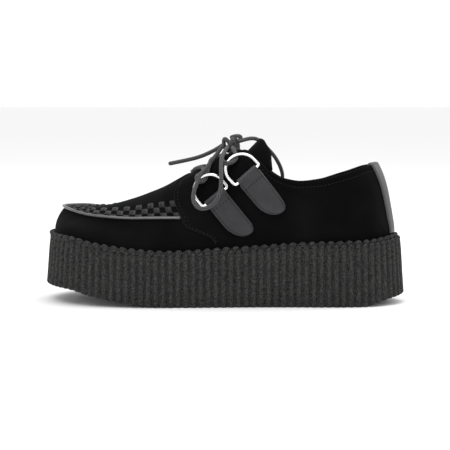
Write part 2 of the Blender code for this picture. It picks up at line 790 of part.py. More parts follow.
def build_upper(finish):
    """The upper: outside, inside, and the rims at the foot and at the top."""
    weave_columns = 2 * round(shoulder_length(OUTER, QUARTER_AT)[1][-1] / WEAVE_CELL)
    bm = bmesh.new()
    for side in (OUTER, INNER):
        outer = [("vamp", at) for at in vamp_stations(weave_columns)]
        outer += [("quarter", at) for at in np.linspace(QUARTER_AT + 0.0004, 1.0, 17)]
        inner = [("vamp", at) for at in vamp_stations(INNER_COLUMNS)]
        inner += [("quarter", at) for at in np.linspace(QUARTER_AT, 1.0, 13)]
        outside = surface_grid(bm, side, outer, levels_at, outer_place)
        inner_rows = (0.0, Last.FOOT_SHARE, 0.6, 1.0, 1.2, 1.4, 1.6, 1.8, 2.0)
        inside = surface_grid(bm, side, inner, lambda part, s, at: inner_rows, inner_place)
        for row in (0, -1):
            a = [line[row] for line in outside]
            b = [line[row] for line in inside]
            if row == -1:
                a = a[weave_columns:]
                b = b[INNER_COLUMNS:]
            zip_lines(bm, a, b, line_places(a), line_places(b))
    return finish_mesh("upper", bm, finish, 50.0)


def tube_mesh(bm, points, radius, sides, closed=False):
    """A round tube along points, with flat ends unless it is closed."""
    points = [Vector(p) for p in points]
    count = len(points)
    rings = []
    frame = None
    for i, p in enumerate(points):
        before = points[(i - 1) % count] if closed or i else p
        after = points[(i + 1) % count] if closed or i < count - 1 else p
        run = (after - before).normalized()
        if frame is None:
            seed = Vector((0, 0, 1)) if abs(run.z) < 0.9 else Vector((0, 1, 0))
            frame = run.cross(seed).normalized()
        frame = (frame - run * frame.dot(run)).normalized()
        other = run.cross(frame)
        ring = []
        for k in range(sides):
            turn = 2 * math.pi * k / sides
            ring.append(bm.verts.new(p + (frame * math.cos(turn) + other * math.sin(turn)) * radius))
        rings.append(ring)
    for a, b in zip(rings, rings[1:] + (rings[:1] if closed else [])):
        join_rings(bm, a, b)
    if not closed:
        bm.faces.new(rings[0])
        bm.faces.new(rings[-1])


def build_piping(finish):
    """The leather cord that lies along the apron's edge."""
    path = []
    for side in (OUTER, INNER):
        line = []
        for at in vamp_stations(16)[:-1]:
            at = min(at, PIPING_END_AT)
            below = LAST.normal("vamp", side, at, 0.97)
            above = LAST.normal("vamp", side, at, 1.03)
            way = (below + above) / np.linalg.norm(below + above)
            line.append(LAST.point("vamp", side, at, 1.0) + way * (PIPING_RADIUS + GAP * 1.3))
        path = line[::-1] if side == OUTER else path + line[1:]
    bm = bmesh.new()
    tube_mesh(bm, path, PIPING_RADIUS, 6)
    return finish_mesh("apron_piping", bm, finish)


def build_back_strap(finish):
    """The leather strip down the middle of the heel."""
    rows = np.linspace(LAST.FOOT_SHARE + 0.03, 1.97, 9)
    half = STRAP_WIDTH / 2
    bm = bmesh.new()
    layers = []
    for out in (QUARTER_REST + GAP, QUARTER_REST + GAP + STRAP_THICKNESS):
        grid = []
        for level in rows:
            line = []
            for side, turns in ((OUTER, (1.0, 0.66, 0.33)), (INNER, (0.0, 0.33, 0.66, 1.0))):
                for share in turns:
                    at = strap_station(side, level, half * share)
                    line.append(bm.verts.new(LAST.offset("quarter", side, at, level, out)))
            grid.append(line)
        layers.append(grid)
    for grid in layers:
        for a, b in zip(grid, grid[1:]):
            for k in range(len(a) - 1):
                bm.faces.new((a[k], a[k + 1], b[k + 1], b[k]))
    near, far = layers
    edges = (
        (near[0], far[0]),
        (near[-1], far[-1]),
        ([line[0] for line in near], [line[0] for line in far]),
        ([line[-1] for line in near], [line[-1] for line in far]),
    )
    for a, b in edges:
        for k in range(len(a) - 1):
            bm.faces.new((a[k], a[k + 1], b[k + 1], b[k]))
    return finish_mesh("back_strap", bm, finish)


def strap_station(side, level, distance):
    """The place on the shoulder line that lies a distance round from the heel's middle at a level."""
    places = np.linspace(1.0, 0.8, 21)
    points = np.array([LAST.point("quarter", side, at, level) for at in places])
    run = np.concatenate(((0.0,), np.cumsum(np.linalg.norm(np.diff(points, axis=0), axis=1))))
    return float(np.interp(distance, run, places))


def tongue_lines():
    """Cross lines of the tongue's upper face, from the vamp's edge to its free end."""
    depth = WALL + 4 * GAP
    stations = [TONGUE_START_AT] + list(np.linspace(QUARTER_AT + 0.012, FACING_TOP_AT, 6))
    lines = []
    for at in stations:
        arms = []
        crown = TONGUE_CROWN * min(1.0, max(-0.5, (at - QUARTER_AT - 0.022) / 0.05))
        part = "vamp" if at < QUARTER_AT else "quarter"
        for side in (OUTER, INNER):
            cap = LAST.section(part, side, at)[2]
            places = np.linspace(1.0, 0.0, 25)
            points = np.array([bezier(*cap, t) for t in places])
            run = np.concatenate(((0.0,), np.cumsum(np.linalg.norm(np.diff(points, axis=0), axis=1))))
            arm = []
            for share in (0.0, 0.5, 1.0):
                top_across = abs(points[0][1] - LAST.middle(points[0][0]))
                skip = max(0.0, TONGUE_NECK / 2 - top_across)
                distance = skip + max(0.004, TONGUE_WIDTH / 2 - top_across - skip) * share
                level = 1.0 + float(np.interp(-distance, -run[::-1], places[::-1]))
                arm.append(LAST.offset(part, side, at, level, -depth))
            arms.append(arm)
        outer, inner = arms
        centre = (outer[0] + inner[0]) / 2
        span = np.linalg.norm(outer[0] - inner[0])
        centre = centre + np.array((0.0, 0.0, crown * span))
        if part == "vamp":
            centre = LAST.offset(part, OUTER, at, 2.0, -depth)
        lines.append(outer[::-1] + [centre] + inner)
    lean = math.radians(TONGUE_LEAN)
    base = lines[-1]
    mid = len(base) // 2
    for share, width in ((0.45, 0.80), (0.80, 0.68), (1.0, 0.48)):
        line = []
        for k, p in enumerate(base):
            off = abs(k - mid) / mid
            lift = math.sin(lean) * max(0.0, 1 - (off / 0.72) ** 2) - TONGUE_SINK * off * off
            ahead = np.array((math.cos(lean), 0.0, lift))
            line.append(base[mid] + (p - base[mid]) * width + ahead * TONGUE_RISE * share)
        lines.append(line)
    return lines


def build_tongue(finish):
    """The tongue, a bent plate below the facings."""
    lines = tongue_lines()
    bm = bmesh.new()
    layers = []
    rows = len(lines)
    width = len(lines[0])
    ways = []
    for i in range(rows):
        way_line = []
        for k in range(width):
            run = lines[min(i + 1, rows - 1)][k] - lines[max(i - 1, 0)][k]
            over = lines[i][min(k + 1, width - 1)] - lines[i][max(k - 1, 0)]
            way = np.cross(run, over)
            way_line.append(way / np.linalg.norm(way))
        ways.append(way_line)
    for depth in (0.0, TONGUE_THICKNESS):
        grid = []
        for i in range(rows):
            grid.append([bm.verts.new(lines[i][k] - ways[i][k] * depth) for k in range(width)])
        layers.append(grid)
    near, far = layers
    for grid in layers:
        for a, b in zip(grid, grid[1:]):
            for k in range(width - 1):
                bm.faces.new((a[k], a[k + 1], b[k + 1], b[k]))
    edges = (
        (near[0], far[0]),
        (near[-1], far[-1]),
        ([line[0] for line in near], [line[0] for line in far]),
        ([line[-1] for line in near], [line[-1] for line in far]),
    )
    for a, b in edges:
        for k in range(len(a) - 1):
            bm.faces.new((a[k], a[k + 1], b[k + 1], b[k]))
    return finish_mesh("tongue", bm, finish, 50.0)


def tree_of(things):
    """A search tree of the faces of several objects."""
    points = []
    faces = []
    for thing in things:
        base = len(points)
        points += [v.co.copy() for v in thing.data.vertices]
        faces += [[base + i for i in p.vertices] for p in thing.data.polygons]
    return BVHTree.FromPolygons(points, faces)


def unit(vector):
    """A vector of length one."""
    return vector / np.linalg.norm(vector)


class Tab:
    """A leather strip folded round a ring's bar and laid down the side of the upper."""

    LINES = (-1.0, -0.34, 0.34, 1.0)
    ROWS = (0.14, 0.30, 0.46, 0.62, 0.76, 0.88, 0.96)
    TURNS = 8

    def __init__(self, side, along, height, turn, tree):
        self.side = side
        self.tree = tree
        x = (along - 0.5) * SOLE_LENGTH
        self.mid = np.array((x, sole_top(x) + height * UPPER_HEIGHT))
        turn = math.radians(turn)
        self.down = np.array((math.sin(turn), -math.cos(turn)))
        self.across = np.array((math.cos(turn), math.sin(turn)))
        self.lay_roll()

    def hit(self, u, v):
        """The point of the upper below a place on the tab."""
        x, z = self.mid + self.across * u + self.down * v
        start = Vector((x, self.side * 0.3, z))
        found = self.tree.ray_cast(start, Vector((0.0, -self.side, 0.0)))[0]
        if found is None:
            found = self.tree.find_nearest(start)[0]
        return np.array(found)

    def normal(self, u, v):
        """The upper's outward direction there, taken over a few millimetres."""
        step = 0.003
        run = self.hit(u, v + step) - self.hit(u, v - step)
        over = self.hit(u + step, v) - self.hit(u - step, v)
        way = unit(np.cross(run, over))
        return way if way[1] * self.side > 0 else -way

    def lay_roll(self):
        """The straight line of the folded end, clear of the upper all along."""
        half = TAB_WIDTH / 2
        places = np.linspace(-half, half, 7)
        out = unit(sum(self.normal(u, ROLL_RADIUS) for u in places))
        ends = [self.hit(u, ROLL_RADIUS) for u in (-half, half)]
        run = unit(ends[1] - ends[0])
        out = unit(out - run * np.dot(out, run))
        lift = 0.0
        for u in places:
            share = (u + half) / TAB_WIDTH
            line = ends[0] + (ends[1] - ends[0]) * share
            for v in (0.0, ROLL_RADIUS, 2 * ROLL_RADIUS):
                lift = max(lift, float(np.dot(self.hit(u, v) - line, out)))
        lift += ROLL_RADIUS + GAP
        self.centre = (ends[0] + ends[1]) / 2 + out * lift
        self.run = run
        self.out = out
        self.fall = np.cross(run, out)
        if self.fall[2] > 0:
            self.fall = -self.fall

    def edges(self, v):
        """The two edges of the strip at a distance down it."""
        half = TAB_WIDTH / 2
        made = []
        for sign, (width, length) in ((-1.0, TAB_TIP_FRONT), (1.0, TAB_TIP_BACK)):
            t = min(1.0, max(0.0, (v - (TAB_LENGTH - length)) / length))
            made.append(sign * (half - width * (1 - math.sqrt(1 - t * t))))
        return made

    def build(self, name, finish):
        """The solid: a roll with a hole, and two plies below it, closed at the tip."""
        bm = bmesh.new()
        hole = RING_WIRE + GAP
        columns = []
        for line in self.LINES:
            axis = self.centre + self.run * line * TAB_WIDTH / 2
            loop = []
            bore = []
            for k in range(self.TURNS):
                turn = 2 * math.pi * (k + 0.5) / self.TURNS
                way = self.fall * math.cos(turn) + self.out * math.sin(turn)
                loop.append(bm.verts.new(axis + way * ROLL_RADIUS / math.cos(math.pi / self.TURNS)))
                bore.append(bm.verts.new(axis + way * hole / math.cos(math.pi / self.TURNS)))
            front = [loop[0]]
            back = [loop[-1]]
            for share in self.ROWS:
                v = share * TAB_LENGTH
                left, right = self.edges(v)
                u = left + (right - left) * (line + 1) / 2
                spot = self.hit(u, v)
                way = self.normal(u, v)
                front.append(bm.verts.new(spot + way * (TAB_REST + 2 * TAB_LEATHER)))
                back.append(bm.verts.new(spot + way * TAB_REST))
            columns.append((loop, bore, front, back))
        tip_u = sum(self.edges(TAB_LENGTH)) / 2
        spot = self.hit(tip_u, TAB_LENGTH)
        way = self.normal(tip_u, TAB_LENGTH)
        tips = [bm.verts.new(spot + way * size) for size in (TAB_REST + 2 * TAB_LEATHER, TAB_REST)]
        for a, b in zip(columns, columns[1:]):
            for k in range(self.TURNS):
                n = (k + 1) % self.TURNS
                bm.faces.new((a[1][k], a[1][n], b[1][n], b[1][k]))
                if n:
                    bm.faces.new((a[0][k], b[0][k], b[0][n], a[0][n]))
            for layer, tip in ((2, tips[0]), (3, tips[1])):
                for k in range(len(self.ROWS)):
                    bm.faces.new((a[layer][k], b[layer][k], b[layer][k + 1], a[layer][k + 1]))
                bm.faces.new((a[layer][-1], b[layer][-1], tip))
        for column in (columns[0], columns[-1]):
            loop, bore, front, back = column
            for k in range(self.TURNS):
                n = (k + 1) % self.TURNS
                bm.faces.new((loop[k], loop[n], bore[n], bore[k]))
            for k in range(len(self.ROWS)):
                bm.faces.new((front[k], front[k + 1], back[k + 1], back[k]))
            bm.faces.new((front[-1], tips[0], tips[1], back[-1]))
        return finish_mesh(name, bm, finish, 50.0)


class Ring:
    """A D-shaped wire ring whose bar lies in a tab's folded end."""

    def __init__(self, tab, tree):
        self.tab = tab
        self.half = RING_INNER_WIDTH / 2 + RING_WIRE
        self.leg = RING_LEG
        for degrees in range(-20, 75, 2):
            turn = math.radians(degrees)
            self.reach = -tab.fall * math.cos(turn) + tab.out * math.sin(turn)
            if self.clear(tree):
                break
        self.face = unit(np.cross(tab.run, self.reach))
        if np.dot(self.face, tab.out) < 0:
            self.face = -self.face

    def clear(self, tree):
        """Whether the ring lies clear of the faces under it, with room for the lace below its arc."""
        for degrees in range(-90, 91, 15):
            room = RING_WIRE + 1.5 * GAP
            if abs(degrees) < 40:
                room += LACE * RING_LIFT
            spot = Vector(self.arc(degrees))
            near, normal, _, distance = tree.find_nearest(spot)
            if (spot - near).dot(normal) < 0 or distance < room:
                return False
        return True

    def arc(self, degrees, out=0.0):
        """A point on the ring's arc, or further out in its plane."""
        turn = math.radians(degrees)
        radius = self.half + out
        middle = self.tab.centre + self.reach * self.leg
        return middle + (self.tab.run * math.sin(turn) + self.reach * math.cos(turn)) * radius

    def build(self, name, finish):
        """The wire, a closed loop."""
        centre = self.tab.centre
        corner = RING_WIRE * 1.2
        path = [
            centre - self.tab.run * (self.half - corner),
            centre + self.tab.run * (self.half - corner),
            centre + self.tab.run * self.half + self.reach * corner,
        ]
        path += [self.arc(degrees) for degrees in range(90, -91, -20)]
        path.append(centre - self.tab.run * self.half + self.reach * corner)
        bm = bmesh.new()
        tube_mesh(bm, path, RING_WIRE, 6, closed=True)
        return finish_mesh(name, bm, finish, 50.0)


def smooth_path(points, spacing):
    """Points along a smooth line through the given ones, about evenly spaced."""
    points = [np.array(p, float) for p in points]
    ends = [2 * points[0] - points[1]] + points + [2 * points[-1] - points[-2]]
    fine = []
    for i in range(len(points) - 1):
        a, b, c, d = ends[i:i + 4]
        for t in np.linspace(0.0, 1.0, 12, endpoint=False):
            fine.append(0.5 * (2 * b + (c - a) * t + (2 * a - 5 * b + 4 * c - d) * t * t
                               + (3 * b - a - 3 * c + d) * t ** 3))
    fine.append(points[-1])
    fine = np.array(fine)
    run = np.concatenate(((0.0,), np.cumsum(np.linalg.norm(np.diff(fine, axis=0), axis=1))))
    count = max(4, round(run[-1] / spacing) + 1)
    places = np.linspace(0.0, run[-1], count)
    return np.column_stack([np.interp(places, run, fine[:, k]) for k in range(3)])


def push_out(spot, tree, room):
    """The spot moved out of and off the faces, or None where it is already clear."""
    near, normal, _, distance = tree.find_nearest(spot)
    if (spot - near).dot(normal) < 0 and distance < 0.012:
        return near + normal * room
    if distance < room:
        return near + (spot - near).normalized() * (room + 1e-5)
    return None


def push_clear(path, tree, radius):
    """Move a line's points out until a tube of the radius is clear of the faces."""
    path = np.array(path, float)
    room = radius + 2 * GAP
    for turn in range(40):
        for i in range(len(path)):
            spot = push_out(Vector(path[i]), tree, room)
            if spot is not None:
                path[i] = spot
        blocked = False
        for i in range(1, len(path) - 2):
            middle = Vector((path[i] + path[i + 1]) / 2)
            spot = push_out(middle, tree, room - GAP)
            if spot is not None:
                blocked = True
                path[i] += np.array(spot - middle)
                path[i + 1] += np.array(spot - middle)
        if not blocked and turn > 3:
            break
        if turn < 4:
            smooth = path.copy()
            smooth[1:-1] = (path[:-2] + path[1:-1] * 2 + path[2:]) / 4
            path = smooth
    return path


def lace_point(along, across, height):
    """A point given by shares of the shoe's sizes."""
    x = (along - 0.5) * SOLE_LENGTH
    return np.array((x, across * BALL_WIDTH, sole_top(x) + height * UPPER_HEIGHT))


def over_the_top(start, end, tree, steps=10):
    """Points from one side to the other, over what lies between."""
    points = [np.array(start)]
    for t in np.linspace(0.0, 1.0, steps + 2)[1:-1]:
        spot = start + (end - start) * t
        found = tree.ray_cast(Vector((spot[0], spot[1], 0.4)), Vector((0.0, 0.0, -1.0)))[0]
        if found is not None:
            spot[2] = max(spot[2], found.z + LACE / 2 + 3 * GAP)
        points.append(spot)
    points.append(np.array(end))
    return points


def joined(name, meshes, finish):
    """One solid from several that cross."""
    things = []
    for k, bm in enumerate(meshes):
        things.append(finish_mesh(f"{name}_{k}", bm, finish))
    base = things[0]
    for other in things[1:]:
        cut = base.modifiers.new("join", "BOOLEAN")
        cut.operation = "UNION"
        cut.solver = "EXACT"
        cut.object = other
    graph = bpy.context.evaluated_depsgraph_get()
    graph.update()
    mesh = bpy.data.meshes.new_from_object(base.evaluated_get(graph))
    for thing in things:
        bpy.data.objects.remove(thing, do_unlink=True)
    bm = bmesh.new()
    bm.from_mesh(mesh)
    bpy.data.meshes.remove(mesh)
    return finish_mesh(name, bm, finish)


def lace_tube(path):
    """A bmesh of a lace along a line."""
    bm = bmesh.new()
    tube_mesh(bm, path, LACE / 2, 6)
    return bm


def cord_object(name, path, finish):
    """A free length of lace as a round curve."""
    curve = bpy.data.curves.new(name, "CURVE")
    curve.dimensions = "3D"
    spline = curve.splines.new("POLY")
    spline.points.add(len(path) - 1)
    for point, place in zip(spline.points, path):
        point.co = (*place, 1.0)
    curve.bevel_depth = LACE / 2
    curve.bevel_resolution = 2
    curve.render_resolution_u = 0
    curve.use_fill_caps = True
    curve.materials.append(finish)
    thing = bpy.data.objects.new(name, curve)
    bpy.context.collection.objects.link(thing)
    return thing


def build_lace_fittings(upper, tongue, leather, nickel):
    """The four tabs with their rings."""
    tree = tree_of([upper])
    rings = {}
    things = []
    for side, side_name in ((OUTER, "outer"), (INNER, "inner")):
        for name, along, height, turn in TABS:
            tab = Tab(side, along, height, turn, tree)
            things.append(tab.build(f"tab_{side_name}_{name}", leather))
            ring = Ring(tab, tree_of([upper, tongue]))
            things.append(ring.build(f"ring_{side_name}_{name}", nickel))
            rings[side, name] = ring
    return rings, things


def build_lace(rings, things, finish):
    """The lace between the rings, the knot and the bow."""
    off = RING_WIRE + LACE / 2 + 1.5 * GAP
    tree = tree_of(things)
    strands = []
    for side in (OUTER, INNER):
        start = rings[side, "lower"].arc(CROSS_LEAVES, off)
        end = rings[-side, "upper"].arc(CROSS_ENTERS, off)
        path = smooth_path(over_the_top(start, end, tree), LACE * 1.6)
        strands.append(lace_tube(push_clear(path, tree, LACE / 2 + GAP)))
    cross = joined("lace_cross", strands, finish)
    points = []
    for side in (OUTER, INNER):
        half = [rings[side, "lower"].arc(BAR_LEAVES, off)]
        for along, across in zip(BAR_ALONG, BAR_ACROSS):
            x = (along - 0.5) * SOLE_LENGTH
            found = tree.ray_cast(Vector((x, side * across * BALL_WIDTH, 0.4)), Vector((0, 0, -1)))[0]
            half.append(np.array((x, side * across * BALL_WIDTH, found.z + LACE / 2 + 3 * GAP)))
        points = half if side == OUTER else points + half[-2::-1]
    tree = tree_of(things + [cross])
    bm = lace_tube(push_clear(smooth_path(points, LACE * 1.6), tree, LACE / 2))
    bar = finish_mesh("lace_bar", bm, finish)
    tree = tree_of(things + [cross, bar])
    centre = lace_point(*KNOT_CENTRE)
    ball = bmesh.new()
    bmesh.ops.create_icosphere(ball, subdivisions=2, radius=0.5)
    for v in ball.verts:
        v.co = Vector(centre) + Vector([c * size for c, size in zip(v.co, KNOT_SIZE)])
    meshes = [ball]
    for side in (OUTER, INNER):
        start = rings[side, "upper"].arc(RISE_LEAVES, off)
        end = centre + np.array((0.0, side * KNOT_SIZE[1] * 0.2, 0.0))
        path = push_clear(smooth_path((start, (start + end) / 2, end), LACE * 1.6), tree, LACE / 2)
        meshes.append(lace_tube(path))
    knot = joined("lace_knot", meshes, finish)
    solids = things + [cross, bar, knot]
    lines = (
        ("lace_loop_near", LOOP_NEAR),
        ("lace_loop_far", LOOP_FAR),
        ("lace_end_outer", END_OUTER),
        ("lace_end_inner", END_INNER),
    )
    laid = []
    for name, rows in lines:
        tree = tree_of(solids + laid)
        path = smooth_path([lace_point(*row) for row in rows], LACE * 2.2)
        path = push_clear(path, tree, LACE / 2)
        cord_object(name, path, finish)
        probe = finish_mesh(name + "_probe", lace_tube(path), finish)
        laid.append(probe)
    for probe in laid:
        bpy.data.objects.remove(probe, do_unlink=True)


def main():
    """Build every piece of the shoe."""
    clear_scene()
    rubber = material("rubber", (0.028, 0.028, 0.028), 0.75)
    suede = material("suede", (0.010, 0.010, 0.010), 0.95)
    leather = material("leather", (0.022, 0.022, 0.022), 0.45)
    lining = material("lining", (0.030, 0.028, 0.026), 0.80)
    nickel = material("nickel", (0.700, 0.700, 0.700), 0.20, 1.0)
    cotton = material("lace", (0.040, 0.040, 0.042), 0.80)
    build_outsole(rubber)
    build_welt(rubber)
    build_insole(lining)
    upper = build_upper(suede)
    tongue = build_tongue(suede)
    build_piping(leather)
    build_back_strap(leather)
    rings, things = build_lace_fittings(upper, tongue, leather, nickel)
    build_lace(rings, [upper, tongue] + things, cotton)


main()
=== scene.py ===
"""Dressed view of a left creeper shoe.

The suede upper with its interlaced apron stands on a ribbed platform sole and is laced through four D-rings.
The toe points to -X, the heel to +X and the outer side to -Y, in metres. The pieces are made again with finer
faces from the same tables of sections that give the solids their form, and take their finishes from the
classes below. Camera, floor and lamps come first in main(), then the pieces in the order of wear: platform,
welt, upper, trims, fittings and lace.
"""
from __future__ import annotations

import logging
import math
from dataclasses import dataclass
from enum import Enum
from typing import Callable, Optional, Sequence

import bmesh
import bpy
import numpy as np
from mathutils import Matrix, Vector
from mathutils.bvhtree import BVHTree

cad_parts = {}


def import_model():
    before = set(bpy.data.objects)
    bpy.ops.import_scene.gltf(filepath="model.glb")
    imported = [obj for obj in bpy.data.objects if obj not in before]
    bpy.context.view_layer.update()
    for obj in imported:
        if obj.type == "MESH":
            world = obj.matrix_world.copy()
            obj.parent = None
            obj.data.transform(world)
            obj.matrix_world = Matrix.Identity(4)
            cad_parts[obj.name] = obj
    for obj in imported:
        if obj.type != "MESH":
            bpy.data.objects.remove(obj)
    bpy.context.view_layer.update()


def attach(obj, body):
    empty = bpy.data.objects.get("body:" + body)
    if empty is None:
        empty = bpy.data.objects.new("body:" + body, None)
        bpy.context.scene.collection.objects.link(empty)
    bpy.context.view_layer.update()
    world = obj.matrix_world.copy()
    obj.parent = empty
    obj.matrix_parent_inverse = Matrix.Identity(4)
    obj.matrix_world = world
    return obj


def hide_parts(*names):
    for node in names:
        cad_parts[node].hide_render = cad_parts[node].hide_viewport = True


LOG = logging.getLogger("creeper")

# Sizes of the shoe.
SOLE_LENGTH = 0.298
BALL_WIDTH = 0.106
SIDE_DRAFT = 0.0032
RIB_PITCH = 0.0060
RIB_DEPTH = 0.0014
RIM_WAVE = 0.0015
PLATFORM_HEIGHT = 0.050
BEAD_PITCH = 0.0073
BEAD_DEPTH = 0.0012
WELT_WIDTH = 0.0043
WELT_HEIGHT = 0.0030
UPPER_HEIGHT = 0.080
TOE_LEDGE = 0.0073
HEEL_LEDGE = 0.0100
WALL = 0.0018
QUARTER_STEP = 0.0012
QUARTER_REST = 0.0005
WEAVE_CELL = 0.0056
WEAVE_ROWS = 3
WEAVE_RISE = 0.0011
WEAVE_DIP = 0.0005
PIPING_RADIUS = 0.0012
STRAP_WIDTH = 0.025
STRAP_THICKNESS = 0.0014
TONGUE_THICKNESS = 0.0026
TONGUE_RISE = 0.0150
TONGUE_LEAN = 46.0
TONGUE_SINK = 0.35
TONGUE_WIDTH = 0.056
TONGUE_NECK = 0.017
TONGUE_CROWN = 0.08
TAB_WIDTH = 0.0192
TAB_LENGTH = 0.0430
TAB_LEATHER = 0.0012
TAB_REST = 0.00090
ROLL_RADIUS = 0.0028
RING_WIRE = 0.00125
RING_INNER_WIDTH = 0.0232
RING_LEG = 0.0070
RING_LIFT = 0.8
LACE = 0.0033
GAP = 0.0003
QUARTER_AT = 0.390
FACING_TOP_AT = 0.577
PIPING_END_AT = 0.384
TONGUE_START_AT = 0.372

# Outline of the platform at the floor: share of the length from the toe, share of the ball width towards the
# inner side. From the toe round the outer side to the heel, and back.
SOLE_OUTLINE = (
    (0.000, 0.030), (0.010, -0.150), (0.038, -0.300), (0.080, -0.405), (0.155, -0.482), (0.285, -0.510),
    (0.430, -0.470), (0.570, -0.425), (0.700, -0.394), (0.820, -0.374), (0.910, -0.325), (0.967, -0.220),
    (0.993, -0.105), (1.000, 0.000), (0.993, 0.105), (0.967, 0.212), (0.910, 0.305), (0.820, 0.348),
    (0.700, 0.356), (0.570, 0.378), (0.430, 0.436), (0.285, 0.488), (0.165, 0.486), (0.085, 0.428),
    (0.040, 0.335), (0.010, 0.200),
)

# Side view of the platform: share of the length, heights as shares of the platform's at the heel seat.
PROFILE_COLUMNS = ("along", "under", "top")
SOLE_PROFILE = (
    (0.000, 0.295, 1.100),
    (0.085, 0.262, 1.073),
    (0.150, 0.170, 0.992),
    (0.220, 0.096, 0.926),
    (0.285, 0.042, 0.882),
    (0.350, 0.012, 0.858),
    (0.410, 0.000, 0.866),
    (0.500, 0.000, 0.905),
    (0.620, 0.014, 0.950),
    (0.720, 0.000, 0.990),
    (0.870, 0.000, 1.014),
    (0.910, 0.034, 1.030),
    (0.945, 0.095, 1.062),
    (1.000, 0.155, 1.105),
)

# Sections of the upper. at: share of the shoulder line. foot: share of the foot line. along: share of the
# sole's length. out, in: shares of the ball width. rise: shares of the upper's height above the platform.
# wall, cap, end: slopes in degrees. bow: how far the section bows to the toe, share of the length.
SECTION_COLUMNS = (
    "at", "foot", "along", "out", "in", "rise_out", "rise_in",
    "top_along", "top_across", "top_out", "top_in", "wall", "cap", "end", "bow",
)
VAMP_SECTIONS = (
    (0.000, 0.000, 0.050, 0.000, 0.000, 0.279, 0.279, 0.140, 0.000, 0.336, 0.336, 50, 14, 0, 0.000),
    (0.056, 0.078, 0.079, 0.125, 0.110, 0.256, 0.284, 0.140, 0.000, 0.336, 0.336, 50, 17, 0, 0.000),
    (0.086, 0.125, 0.103, 0.175, 0.165, 0.246, 0.292, 0.140, 0.000, 0.336, 0.336, 52, 20, 0, 0.000),
    (0.110, 0.155, 0.124, 0.212, 0.205, 0.251, 0.300, 0.140, 0.000, 0.336, 0.336, 53, 22, 0, 0.000),
    (0.159, 0.208, 0.168, 0.264, 0.257, 0.271, 0.313, 0.178, 0.000, 0.383, 0.383, 56, 25, 0, 0.000),
    (0.241, 0.312, 0.248, 0.310, 0.300, 0.304, 0.340, 0.247, 0.000, 0.490, 0.490, 62, 33, 0, 0.002),
    (0.298, 0.384, 0.305, 0.338, 0.322, 0.334, 0.367, 0.308, 0.000, 0.594, 0.594, 70, 43, 0, 0.010),
    (0.341, 0.447, 0.349, 0.354, 0.337, 0.350, 0.378, 0.358, 0.000, 0.680, 0.680, 77, 52, 0, 0.024),
    (0.390, 0.512, 0.396, 0.362, 0.348, 0.353, 0.378, 0.412, 0.000, 0.785, 0.785, 83, 66, 8, 0.042),
)
QUARTER_SECTIONS = (
    (0.390, 0.512, 0.396, 0.362, 0.348, 0.353, 0.378, 0.416, 0.080, 0.766, 0.766, 83, 66, 22, 0.042),
    (0.443, 0.547, 0.450, 0.346, 0.336, 0.354, 0.373, 0.466, 0.104, 0.866, 0.860, 85, 74, 25, 0.026),
    (0.503, 0.594, 0.510, 0.327, 0.320, 0.358, 0.369, 0.510, 0.123, 0.937, 0.929, 86, 79, 28, 0.010),
    (0.543, 0.634, 0.550, 0.317, 0.311, 0.362, 0.367, 0.542, 0.138, 0.984, 0.974, 87, 81, 31, 0.000),
    (0.577, 0.666, 0.584, 0.311, 0.304, 0.362, 0.365, 0.564, 0.156, 0.971, 0.959, 88, 83, 38, 0.000),
    (0.607, 0.691, 0.614, 0.308, 0.301, 0.359, 0.360, 0.594, 0.196, 0.886, 0.866, 89, 85, 50, 0.000),
    (0.640, 0.716, 0.648, 0.306, 0.299, 0.351, 0.351, 0.634, 0.232, 0.737, 0.709, 90, 87, 64, 0.000),
    (0.681, 0.747, 0.688, 0.307, 0.299, 0.339, 0.339, 0.670, 0.258, 0.664, 0.626, 91, 89, 76, 0.000),
    (0.727, 0.781, 0.735, 0.309, 0.301, 0.332, 0.332, 0.715, 0.276, 0.630, 0.590, 92, 90, 81, 0.000),
    (0.778, 0.819, 0.785, 0.306, 0.298, 0.327, 0.327, 0.763, 0.274, 0.638, 0.606, 93, 92, 83, 0.000),
    (0.828, 0.862, 0.836, 0.290, 0.284, 0.319, 0.319, 0.811, 0.256, 0.674, 0.656, 92, 92, 83, 0.000),
    (0.870, 0.903, 0.876, 0.262, 0.257, 0.308, 0.308, 0.846, 0.222, 0.706, 0.696, 88, 87, 80, 0.000),
    (0.928, 0.947, 0.926, 0.172, 0.170, 0.284, 0.284, 0.888, 0.152, 0.752, 0.748, 84, 81, 69, 0.000),
    (1.000, 1.000, 0.959, 0.000, 0.000, 0.258, 0.258, 0.921, 0.000, 0.766, 0.766, 82, 79, 62, 0.000),
)

# Middle of each tab's folded end, seen from the side: share of the sole's length, height above the platform
# as a share of the upper's, and the tab's turn from straight down towards the heel, in degrees.
# Columns: name, along, height, turn.
TABS = (
    ("lower", 0.480, 0.563, 39.5),
    ("upper", 0.564, 0.751, 41.0),
)
# A stitch of the tabs: pitch, length and radius of the thread.
TAB_STITCH = (0.0026, 0.0017, 0.00042)
# How each lower corner of a tab is rounded: across and along.
TAB_TIP_FRONT = (0.0143, 0.0180)
TAB_TIP_BACK = (0.0049, 0.0080)

# Lace between the rings: where each strand leaves a ring's arc, as degrees from the arc's middle towards
# the upper, back end of its bar, and its points between.
BAR_LEAVES = -16.0
CROSS_LEAVES = 24.0
CROSS_ENTERS = -30.0
RISE_LEAVES = 22.0
BAR_ALONG = (0.452, 0.424, 0.414)
BAR_ACROSS = (0.22, 0.11, 0.0)

